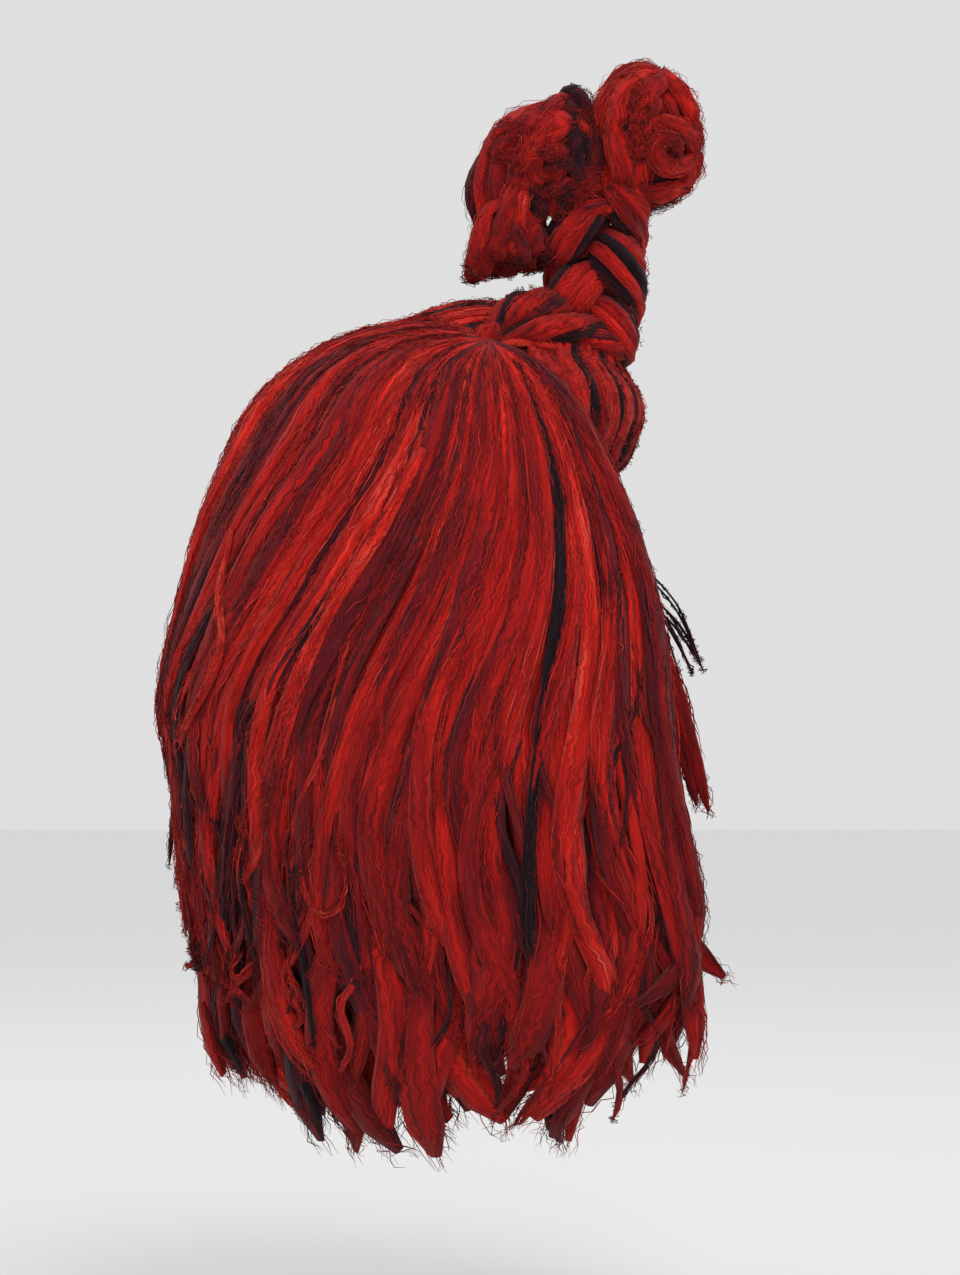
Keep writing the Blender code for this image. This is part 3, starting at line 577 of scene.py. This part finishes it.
# thin waved locks that stray over the lower half
loose = {"locks": {"Front": 56, "Rear": 66}, "points": 18, "start": (-0.06, -0.34), "length": (0.10, 0.22),
         "shareSplit": 0.42, "aboveTips": 0.035, "drawnPoints": 24, "drawnLift": 0.003,
         "width": (0.0013, 0.0032), "thickness": 0.0014, "wave": (0.002, 0.007),
         "drawn": [([(0.094, -0.090), (0.112, -0.130), (0.128, -0.175), (0.142, -0.225), (0.150, -0.265),
                     (0.160, -0.284)], 0.0040, 0.86),
                   ([(0.168, -0.060), (0.176, -0.100), (0.174, -0.132), (0.184, -0.160), (0.198, -0.185),
                     (0.204, -0.203)], 0.0045, 0.88),
                   ([(0.120, -0.246), (0.122, -0.276), (0.114, -0.298), (0.101, -0.300), (0.094, -0.282),
                     (0.098, -0.250)], 0.0013, 0.84),
                   ([(0.046, -0.010), (0.072, -0.060), (0.094, -0.095), (0.124, -0.152), (0.142, -0.200),
                     (0.152, -0.236)], 0.0052, 0.86)]}
points = loose["points"]
for side, mirror, seed in (("right", False, 51), ("left", True, 57)):
    rng = np.random.default_rng(seed)
    for part, low, high in (("Front", 0.0, loose["shareSplit"]), ("Rear", loose["shareSplit"], 1.0)):
        locks = []
        for line, width, tint in (loose["drawn"] if part == "Rear" else ()):
            line = through([(0, y, z) for y, z in line], loose["drawnPoints"])
            halfSpan = np.interp(-line[:, 2], form["down"], form["side"])
            back, ahead = [np.interp(-line[:, 2], form["down"], form[name]) for name in ("back", "front")]
            half = (back - ahead) / (1 + edgeShare)
            bulge = np.sqrt(np.clip(1 - ((line[:, 1] - back + half) / half) ** 2, 0.01, 1))
            line[:, 0] = -halfSpan * bulge - loose["drawnLift"]
            lock = makeLock(rng, line, outwardFrom(line), width, width * 0.5, tint, fuzz=90,
                            swell=[0.4, 0.7, 1.0, 1.0, 0.9, 0.7, 0.4])
            locks += mirrorLock(lock) if mirror else lock
        for _ in range(loose["locks"][part]):
            start = loose["start"][0] + (loose["start"][1] - loose["start"][0]) * rng.uniform() ** 0.7
            share = rng.uniform(low, high)
            floor = np.interp(lowBearing(share), combing["tipAt"], combing["outerTips"]) - loose["aboveTips"]
            z = np.linspace(start, max(start - rng.uniform(*loose["length"]), floor), points)
            wave, rate, phase = rng.uniform(*loose["wave"]), rng.uniform(0.8, 2.2), rng.uniform(0, fullTurn)
            bend = np.degrees(wave / 0.14) * np.sin(phase + rate * np.linspace(0, fullTurn, points)) \
                + np.linspace(0, rng.normal(0, 6), points)
            bearings = np.clip(bearingOf(fanned(share, z)) + bend, *combing["bearings"])
            rise = np.interp(np.linspace(0, 1, points), [0, 0.2, 0.8, 1], [0.93, 1.0, 1.0, 0.96])
            line = curtainPoint(bearings, z, rise)
            hook = np.linspace(0, 1, points)[:, None] ** 4
            line = line + hook * (np.array([0, 0, rng.uniform(0, 0.012)])
                                  + rng.normal(0, 0.007, 3) * [0.6, 1.0, 0.2])
            lock = makeLock(rng, smoothLine(respace(line, points)), outwardFrom(line),
                            rng.uniform(*loose["width"]), loose["thickness"],
                            pickTint(rng, (0.06, 0.12, 0.26, 0.34, 0.22)), sides=6, wisps=6, fuzz=14,
                            wispLength=(0.2, 0.6), fuzzLength=(0.08, 0.25), fray=5,
                            swell=[0.2, 0.6, 0.9, 1.0, 1.0, 0.8, 0.4])
            locks += mirrorLock(lock) if mirror else lock
        piece = weave(f"looseHair{part}_{side}", locks)
        hangHair(piece, part == "Rear")
print("loose locks strayed")


smoothEnds = {"fray": 0, "sides": 12}


def ropeOf(rng, path, outward, radius, tints, twist=0.5, filler=0.45, flat=0.62, **changes):
    # locks laid side by side round a path, over a filler in its middle
    side, out = frameOf(path, outward)
    t = np.linspace(0, 1, len(path))
    radius = np.interp(t, np.linspace(0, 1, len(radius)), radius)
    made, size = [], radius.max()
    share = (radius / size).tolist()
    for number, tint in enumerate(tints):
        angle = 2 * math.pi * (number / len(tints) + twist * t) + rng.normal(0, 0.06)
        away = np.cos(angle)[:, None] * side + np.sin(angle)[:, None] * out
        guide = path + away * (radius * (1 - flat * 0.62))[:, None]
        made += makeLock(rng, guide, away, size * 2.1 / len(tints) * 1.6, size * flat * 0.62, tint,
                         at=t.tolist(), swell=share, coreEnd=1.0, **changes)
    made += makeLock(rng, path, out, size * filler, size * filler, tints[0], at=t.tolist(), swell=share,
                     coreEnd=1.0, wisps=0, fray=0, fuzz=0)
    return made


# the front, swept up from the brow to the foot of the plait in striped locks
front = {
    "gather": [(-0.003, -0.082, 0.060), (-0.016, -0.078, 0.061), (-0.030, -0.056, 0.063),
               (-0.046, -0.022, 0.064)],
    "tints": (0.66, 0.74, 0.12, 0.76, 0.70, 0.14, 0.78, 0.74, 0.10, 0.76, 0.80, 0.62, 0.12, 0.80, 0.84, 0.72,
              0.78, 0.84),
    "brow": -0.006, "tuck": 0.010, "lastBearing": 64.0, "width": 0.0050, "thickness": 0.0045,
    "rimGap": 0.0045, "inside": 0.0045, "bulge": 0.0125,
}


def frontGuide(q, points=24):
    top = sampleRows(np.array(front["gather"]), np.array([q]))[0]
    turn = math.radians(front["lastBearing"] * q)
    away = np.array([-math.sin(turn), -math.cos(turn), 0.0])
    middle = np.array([0, form["capY"], 0])
    size = np.array([form["capWidth"], form["capLength"], form["capHeight"]])
    # from the gather down over a swollen cap to the brow, then in under the rim
    level = np.linspace(top[2], front["brow"], points - 4)
    fall = (level - front["brow"]) / (top[2] - front["brow"])
    flat = np.sqrt(np.clip(1 - (np.maximum(level, 0) / size[2]) ** 2, 0, 1))
    ring = middle + away * (size * [1, 1, 0] - [front["inside"], front["inside"], 0]) * flat[:, None]
    ring = ring + away * (front["rimGap"] + front["bulge"] * np.sin(math.pi * fall) ** 0.8)[:, None]
    start = np.interp(fall, [0, 0.55, 1], [0, 0.12, 1])[:, None] ** 1.6
    line = ring * (1 - start) + top * start
    line[:, 2] = level
    end = line[-1]
    tuck = [end + away * 0.0005 + [0, 0, -0.006], end - away * 0.004 + [0, 0, -0.0105],
            end - away * front["tuck"] + [0, 0, -0.0115]]
    return smoothLine(respace(np.concatenate([line, tuck]), points), 2)


rng = np.random.default_rng(5)
sides = {"right": [], "left": [], "middle": []}
for q, tint in zip(np.linspace(0.0, 1.0, len(front["tints"])), front["tints"]):
    for side in ("right", "left"):
        guide = frontGuide(float(np.clip(q + rng.normal(0, 0.004), 0, 1)))
        thin = 0.7 if tint < 0.2 else rng.uniform(0.95, 1.25)
        lock = makeLock(rng, guide, outwardFrom(guide), front["width"] * thin,
                        front["thickness"], tint + rng.uniform(-0.03, 0.03), fuzz=60, wisps=10, coreEnd=1.0,
                        fray=0, swell=[0.5, 0.7, 0.95, 1.3, 1.2, 1.1, 0.9])
        panel = "middle" if q < 0.3 else side
        sides[panel] += mirrorLock(lock) if side == "left" else lock
for panel, locks in sides.items():
    piece = weave(f"frontHair_{panel}", locks)
    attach(piece, "wig_cap")
    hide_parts(f"front_hair_{panel}")
print("front swept up")

# the crown between the two knots, combed back from the foot of the plait
crown = {"locks": 22, "halfSpan": 0.060, "front": -0.045, "back": 0.105, "lift": 0.0045, "width": 0.0052,
         "thickness": 0.0036}
rng = np.random.default_rng(7)
locks = []
for across in np.linspace(-1, 1, crown["locks"]):
    y = np.linspace(crown["front"], crown["back"], 20)
    x = crown["halfSpan"] * across * np.interp(y, [crown["front"], 0.0, crown["back"]], [0.72, 1.0, 1.12])
    rise = 1 - (x / form["capWidth"]) ** 2 - ((y - form["capY"]) / form["capLength"]) ** 2
    path = np.stack([x, y, form["capHeight"] * np.sqrt(np.clip(rise, 0.03, 1)) + crown["lift"]], -1)
    path = smoothLine(respace(path, 20), 2)
    locks += makeLock(rng, path, outwardFrom(path), crown["width"] * rng.uniform(0.8, 1.2),
                      crown["thickness"], pickTint(rng, (0.12, 0.10, 0.14, 0.34, 0.30)), fuzz=70, wisps=14,
                      fray=6)
piece = weave("crownHair", locks)
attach(piece, "wig_cap")
print("crown combed")

# each side's gathered knot, and the bundle that runs from it to the plait
gather = {
    "knot": (-0.0575, 0.003, 0.0635), "knotRadius": (0.004, 0.0075, 0.008, 0.005),
    "bundle": [(-0.055, 0.004, 0.065), (-0.044, -0.008, 0.078), (-0.030, -0.026, 0.083),
               (-0.012, -0.048, 0.082)],
    "bundleRadius": (0.005, 0.0125, 0.0140, 0.011),
    "cross": [(-0.056, -0.002, 0.062), (-0.044, -0.030, 0.069), (-0.032, -0.050, 0.071),
              (-0.014, -0.070, 0.070)],
    "crossRadius": (0.004, 0.0085, 0.0105, 0.008), "bundleFrom": [0, -0.02, 0.03],
    "knotTints": (0.84, 0.76, 0.86, 0.6, 0.82, 0.78),
    "bundleTints": (0.66, 0.12, 0.70, 0.74, 0.10, 0.62, 0.76, 0.36, 0.68),
    "crossTints": (0.72, 0.66, 0.10, 0.78, 0.7, 0.12, 0.74),
}
for side, seed in (("right", 61), ("left", 67)):
    rng = np.random.default_rng(seed)
    x, y, z = gather["knot"]
    path = through([(x + 0.004, y + 0.008, z - 0.004), (x - 0.001, y + 0.002, z + 0.001),
                    (x, y - 0.006, z)], 12)
    knot = ropeOf(rng, path, unit(path - [0, 0.0085, 0.02]), gather["knotRadius"], gather["knotTints"],
                  fuzz=30, wisps=6, **smoothEnds)
    bundle = []
    for name, fuzz in (("bundle", 40), ("cross", 30)):
        path = through(gather[name], 20)
        bundle += ropeOf(rng, path, unit(path - gather["bundleFrom"]), gather[f"{name}Radius"],
                         gather[f"{name}Tints"], fuzz=fuzz, wisps=8, **smoothEnds)
    for name, locks in (("knot", knot), ("bundle", bundle)):
        piece = weave(f"{name}Hair_{side}", mirrorLock(locks) if side == "left" else locks)
        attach(piece, "wig_cap")
        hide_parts(f"{name}_{side}")

# the plait: three thick striped strands that pass over and under, wrapped at the foot and the top
plait = {
    "y": -0.062, "lean": -0.006, "halfWidth": 0.021, "halfDepth": 0.0125, "foot": 0.060, "rise": 0.100,
    "turns": 0.8, "starts": (39.5, 159.5, 279.5), "shares": (-0.06, 1.06),
    "radius": (0.009, 0.0135, 0.014, 0.014, 0.013, 0.010),
    "tints": ((0.76, 0.70, 0.12, 0.74, 0.82, 0.68, 0.34, 0.72, 0.80),
              (0.66, 0.10, 0.72, 0.14, 0.70, 0.62, 0.12, 0.74, 0.66),
              (0.70, 0.12, 0.66, 0.76, 0.10, 0.70, 0.64, 0.12, 0.72)),
}
rng = np.random.default_rng(71)
for number, start in enumerate(plait["starts"]):
    share = np.linspace(*plait["shares"], 30)
    angle = 2 * math.pi * plait["turns"] * share + math.radians(start)
    path = np.stack([plait["halfDepth"] * np.sin(2 * angle),
                     plait["y"] + plait["lean"] * share + plait["halfWidth"] * np.sin(angle),
                     plait["foot"] + plait["rise"] * share], -1)
    middle = np.stack([0 * share, plait["y"] + plait["lean"] * share, path[:, 2]], -1)
    radius = np.interp(share, np.linspace(*plait["shares"], 6), plait["radius"]) \
        * (0.84 + 0.34 * np.abs(np.sin(2 * angle)))
    strand = ropeOf(rng, path, unit(path - middle + [-0.004, 0, 0]), radius, plait["tints"][number],
                    twist=0.35, fuzz=40, wisps=10, **smoothEnds)
    piece = weave(f"plaitHair_{number + 1}", strand)
    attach(piece, "topknot_stem")
    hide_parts(f"plait_strand_{number + 1}")

wraps = {
    "foot": {"body": "wig_cap", "middle": (0.0, -0.061, 0.065), "half": (0.026, 0.019), "slope": 0.34,
             "radius": 0.0080},
    "top": {"body": "topknot_stem", "middle": (0.0, -0.066, 0.150), "half": (0.017, 0.019), "slope": -0.10,
            "radius": 0.0055},
}
wrapTints = (0.68, 0.12, 0.74, 0.62, 0.72, 0.3)
for place, wrap in wraps.items():
    turns = np.linspace(0, 2 * math.pi * 1.08, 34)
    middle = np.array(wrap["middle"])
    path = middle + np.stack([wrap["half"][0] * np.cos(turns), wrap["half"][1] * np.sin(turns),
                              wrap["half"][1] * np.sin(turns) * wrap["slope"]], -1)
    locks = ropeOf(rng, path, unit(path - middle), (wrap["radius"],) * 4, wrapTints, twist=1.0, fuzz=50,
                   wisps=10, **smoothEnds)
    piece = weave(f"wrapHair_{place}", locks)
    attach(piece, wrap["body"])
    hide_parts(f"tie_{place}")
print("plait made")


def overBlob(blob, points, sign, lift, count=24):
    # a line drawn in side view, laid on the swollen side of a blob
    line = through([(0, y, z) for y, z in points], count)
    middle, half = np.array(blob["middle"]), np.array(blob["half"])
    off = np.hypot((line[:, 1] - middle[1]) / half[1], (line[:, 2] - middle[2]) / half[2])
    line[:, 0] = sign * half[0] * np.sqrt(np.clip(1 - np.minimum(off, 1.0) ** 2, 0.02, 1)) * lift
    return smoothLine(line, 2), unit((line - middle) / half ** 2 * half.max() ** 2)


def spiral(middle, reach, turns, start, squash=1.0, count=9):
    turn = np.linspace(start, start + 2 * math.pi * turns, count)
    size = np.linspace(reach[0], reach[1], count)
    return [(middle[0] + r * math.cos(a), middle[1] + squash * r * math.sin(a)) for a, r in zip(turn, size)]


curled = {"wispLength": (0.15, 0.5), "fuzzLength": (0.08, 0.25)}


def dressBlob(rng, blob):
    # a wound body, then curled locks laid over both of its sides
    path = through(blob["spine"], 26)
    made = ropeOf(rng, path, np.tile([-1.0, 0.0, 0.0], (26, 1)), blob["radius"], blob["tints"],
                  twist=blob["twist"], fuzz=40, wisps=8, fuzzReach=0.005, **smoothEnds, **curled)
    for sign in (-1, 1):
        for points, width, tint in blob["ribbons"]:
            points = np.array(points) + rng.normal(0, 0.0008, (len(points), 2)) * (1 if sign < 0 else 4)
            line, away = overBlob(blob, points, sign, rng.uniform(0.96, 1.06))
            made += makeLock(rng, line, away, width, width * 0.72, tint + rng.uniform(-0.04, 0.04), fuzz=75,
                             wisps=12, fray=8, fuzzReach=0.0045,
                             swell=[0.6, 0.8, 1.0, 1.05, 1.0, 0.9, 0.6], **curled)
        for _ in range(blob["loose"]):
            at = np.array(blob["middle"])[1:] + rng.uniform(-0.75, 0.75, 2) * np.array(blob["half"])[1:]
            points = spiral(at, (rng.uniform(0.008, 0.014), rng.uniform(0.003, 0.007)), rng.uniform(0.5, 1.1),
                            rng.uniform(0, fullTurn))
            line, away = overBlob(blob, points, sign, rng.uniform(0.98, 1.10), 18)
            made += makeLock(rng, line, away, 0.0050, 0.0038, pickTint(rng, (0.08, 0.14, 0.28, 0.32, 0.18)),
                             fuzz=45, wisps=6, wispLength=(0.2, 0.6), fuzzLength=(0.1, 0.35), fuzzReach=0.005,
                             fray=6, sides=10)
    return made


# the front puff and the rear tuft, two balls of thick curled locks at the top of the plait
topBlobs = {
    "front_puff": {
        "middle": (0.0, -0.098, 0.197), "half": (0.031, 0.032, 0.043), "loose": 5, "twist": 0.5,
        "spine": [(0, -0.070, 0.146), (0, -0.080, 0.168), (0, -0.094, 0.195), (0, -0.102, 0.218),
                  (0, -0.100, 0.236)],
        "radius": (0.011, 0.019, 0.028, 0.028, 0.022, 0.008),
        "tints": (0.76, 0.68, 0.78, 0.40, 0.72, 0.80, 0.56, 0.76, 0.30),
        "ribbons": [
            ([(-0.072, 0.152), (-0.066, 0.180), (-0.070, 0.212), (-0.086, 0.234), (-0.108, 0.236)],
             0.0080, 0.80),
            ([(-0.104, 0.239), (-0.086, 0.228), (-0.080, 0.202), (-0.084, 0.170), (-0.080, 0.152)],
             0.0085, 0.84),
            ([(-0.112, 0.236), (-0.098, 0.222), (-0.093, 0.200), (-0.092, 0.178)], 0.0075, 0.72),
            ([(-0.104, 0.238), (-0.118, 0.226), (-0.127, 0.205), (-0.127, 0.184)], 0.0070, 0.80),
            (spiral((-0.112, 0.187), (0.019, 0.005), 1.5, 1.2), 0.0062, 0.76),
            (spiral((-0.111, 0.187), (0.011, 0.003), 1.1, 3.6), 0.0045, 0.60),
            ([(-0.128, 0.186), (-0.121, 0.168), (-0.105, 0.160), (-0.088, 0.162)], 0.0070, 0.72),
            ([(-0.124, 0.166), (-0.108, 0.156), (-0.090, 0.153), (-0.074, 0.152)], 0.0056, 0.30),
        ],
    },
    "rear_tuft": {
        "middle": (0.0, -0.030, 0.178), "half": (0.027, 0.042, 0.044), "loose": 9, "twist": 0.4,
        "spine": [(0, -0.056, 0.150), (0, -0.052, 0.176), (0, -0.042, 0.196), (0, -0.022, 0.190),
                  (0, -0.006, 0.164), (0, -0.002, 0.134)],
        "radius": (0.010, 0.021, 0.026, 0.025, 0.023, 0.016),
        "tints": (0.72, 0.58, 0.76, 0.40, 0.74, 0.68, 0.20, 0.76, 0.62),
        "ribbons": [
            ([(-0.062, 0.162), (-0.064, 0.190), (-0.058, 0.214), (-0.049, 0.229)], 0.0075, 0.40),
            ([(-0.056, 0.168), (-0.052, 0.196), (-0.047, 0.216), (-0.050, 0.228)], 0.0070, 0.16),
            ([(-0.046, 0.222), (-0.030, 0.206), (-0.014, 0.196), (0.002, 0.180)], 0.0080, 0.66),
            ([(-0.050, 0.206), (-0.034, 0.196), (-0.020, 0.180), (-0.014, 0.160)], 0.0085, 0.72),
            (spiral((-0.009, 0.190), (0.013, 0.004), 1.4, 0.4), 0.0052, 0.62),
            (spiral((-0.078, 0.197), (0.014, 0.004), 1.5, 2.6), 0.0060, 0.56),
            (spiral((-0.034, 0.176), (0.014, 0.005), 1.2, 5.0), 0.0060, 0.70),
            ([(-0.042, 0.164), (-0.056, 0.160), (-0.068, 0.166), (-0.082, 0.176)], 0.0055, 0.68),
            ([(-0.040, 0.160), (-0.056, 0.166), (-0.070, 0.184), (-0.074, 0.206)], 0.0070, 0.60),
        ],
    },
}
# the tuft's ends, which fall behind the plait
hanging = {"locks": 42, "root": (-0.016, 0.160), "spread": 0.022, "ends": ((-0.036, 0.110), (0.018, 0.101)),
           "halfSpan": 0.018, "radius": 0.0078, "thickness": 0.0045}
for name, seed in (("front_puff", 83), ("rear_tuft", 97)):
    rng = np.random.default_rng(seed)
    locks = dressBlob(rng, topBlobs[name])
    if name == "rear_tuft":
        first, last = np.array(hanging["ends"])
        for _ in range(hanging["locks"]):
            across = rng.uniform(-1, 1) * hanging["halfSpan"]
            end = first + (last - first) * rng.uniform()
            y, z = np.array(hanging["root"]) + rng.uniform(-1, 1, 2) * hanging["spread"]
            line = through([(across * 0.6, y, z),
                            (across * 1.3, y * 0.6 + end[0] * 0.4 + 0.004, z - 0.010),
                            (across * 1.3, end[0] * 0.7 + y * 0.3 + 0.003, end[1] * 0.5 + z * 0.5),
                            (across, end[0], end[1] + rng.uniform(0, 0.012))], 20)
            locks += makeLock(rng, line, unit(line - [0, -0.02, 0.15]),
                              hanging["radius"] * rng.uniform(0.7, 1.2), hanging["thickness"],
                              pickTint(rng, (0.10, 0.14, 0.26, 0.36, 0.14)), fuzz=16, wisps=6, fray=12,
                              sides=10, fuzzReach=0.004, **curled)
    piece = weave("puffHair" if name == "front_puff" else "tuftHair", locks)
    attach(piece, name)
    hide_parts(name)
print("puff and tuft curled")

# a thin forked lock in front of the left curtain
faceLock = {"line": [(0.096, -0.060, -0.020), (0.103, -0.086, -0.080), (0.107, -0.108, -0.130)],
            "tips": ((0.110, -0.145, -0.251), (0.112, -0.137, -0.247), (0.106, -0.128, -0.290)),
            "radius": 0.0065, "thickness": 0.0045, "tints": (0.70, 0.62, 0.74), "facing": [0.9, -0.4, 0.0],
            "wisps": 9, "wispTop": [0.100, -0.090, -0.090], "wispLow": [0.106, -0.134, -0.150]}
rng = np.random.default_rng(101)
locks = []
for number, tip in enumerate(faceLock["tips"]):
    tip = np.array(tip)
    start = [np.array(point) + [0.001 * number, 0.004 * number, 0] for point in faceLock["line"]]
    path = through(start + [start[-1] * 0.45 + tip * 0.55 + [0.002, -0.003, 0], tip], 22)
    locks += makeLock(rng, path, np.tile(faceLock["facing"], (22, 1)), faceLock["radius"],
                      faceLock["thickness"], faceLock["tints"][number], fuzz=70,
                      swell=[0.5, 0.7, 0.9, 1.1, 0.9, 0.5, 0.25])
for _ in range(faceLock["wisps"]):
    # dark wisps in front of it
    top = np.array(faceLock["wispTop"]) + rng.normal(0, 0.006, 3)
    low = np.array(faceLock["wispLow"]) + rng.normal(0, 0.008, 3)
    path = through([top, top * 0.5 + low * 0.5 + [0, -0.004, 0.004], low], 12)
    locks += makeLock(rng, path, np.tile(faceLock["facing"], (12, 1)), 0.0008, 0.0006, 0.16, sides=6,
                      fuzz=10, wisps=5, fray=4)
piece = weave("faceLockHair", locks)
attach(piece, "left_curtain")
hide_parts("face_lock_left")
print("face lock hung")


def sewnMaterial(name, colour, scale, kind, bump, roughness=0.85, metallic=0.0):
    # woven tape, net or brushed wire, worked from the piece's own place in space
    material = bpy.data.materials.new(name)
    material.use_nodes = True
    tree = material.node_tree
    shader = tree.nodes["Principled BSDF"]
    place = addNode(tree, "ShaderNodeTexCoord").outputs["Object"]
    grain = addNode(tree, "ShaderNodeTexNoise", [("Vector", place), ("Scale", scale * 0.4),
                                                 ("Detail", 5.0)]).outputs[0]
    if kind == "wire":
        pattern = noiseOn(tree, place, (scale, scale, scale * 0.08), 3.0)
    elif kind == "net":
        pattern = addNode(tree, "ShaderNodeTexVoronoi", [("Vector", place), ("Scale", scale)],
                          feature="DISTANCE_TO_EDGE").outputs[0]
        pattern = mapped(tree, pattern, 0.04, 0.16, (1.0, 0.0))
    else:
        waves = []
        for direction in ("X", "Y", "Z"):
            wave = addNode(tree, "ShaderNodeTexWave",
                           [("Vector", place), ("Scale", scale), ("Distortion", 0.6)],
                           wave_type="BANDS", bands_direction=direction)
            waves.append(wave.outputs[1])
        pattern = combined(tree, "MULTIPLY", combined(tree, "MAXIMUM", waves[0], waves[1]), waves[2])
    shade = combined(tree, "MULTIPLY", mapped(tree, pattern, 0.0, 1.0, (0.55, 1.25)), grain)
    ramp = addNode(tree, "ShaderNodeValToRGB", [(0, shade)])
    ramp.color_ramp.elements[0].color = (*[0.35 * part for part in colour], 1)
    ramp.color_ramp.elements[1].color = (*[min(1.7 * part, 1.0) for part in colour], 1)
    tree.links.new(ramp.outputs[0], shader.inputs["Base Color"])
    relief = addNode(tree, "ShaderNodeBump", [("Height", pattern), ("Strength", bump), ("Distance", 0.0006)])
    tree.links.new(relief.outputs[0], shader.inputs["Normal"])
    shader.inputs["Roughness"].default_value = roughness
    shader.inputs["Metallic"].default_value = metallic
    return material


sewn = {
    "net_cap": dict(colour=(0.035, 0.022, 0.026), scale=420, kind="net", bump=0.9),
    "front_band": dict(colour=(0.10, 0.05, 0.05), scale=240, kind="weave", bump=0.6),
    "nape_elastic": dict(colour=(0.020, 0.018, 0.020), scale=330, kind="weave", bump=0.9),
    "ear_tab": dict(colour=(0.045, 0.030, 0.034), scale=260, kind="weave", bump=0.6),
    "strap": dict(colour=(0.018, 0.016, 0.018), scale=330, kind="weave", bump=0.8),
    "loop_tape": dict(colour=(0.030, 0.024, 0.028), scale=300, kind="weave", bump=0.8),
    "weft_track": dict(colour=(0.16, 0.012, 0.014), scale=280, kind="weave", bump=0.9),
    "adjuster_hook": dict(colour=(0.55, 0.55, 0.56), scale=900, kind="wire", bump=0.15, roughness=0.28,
                          metallic=1.0),
}
for start, look in sewn.items():
    finish = sewnMaterial(f"{start}_finish", **look)
    for node in [obj for obj in bpy.data.objects if obj.type == "MESH" and obj.name.startswith(start)]:
        for slot in node.material_slots:
            slot.material = finish
print("cap pieces finished")
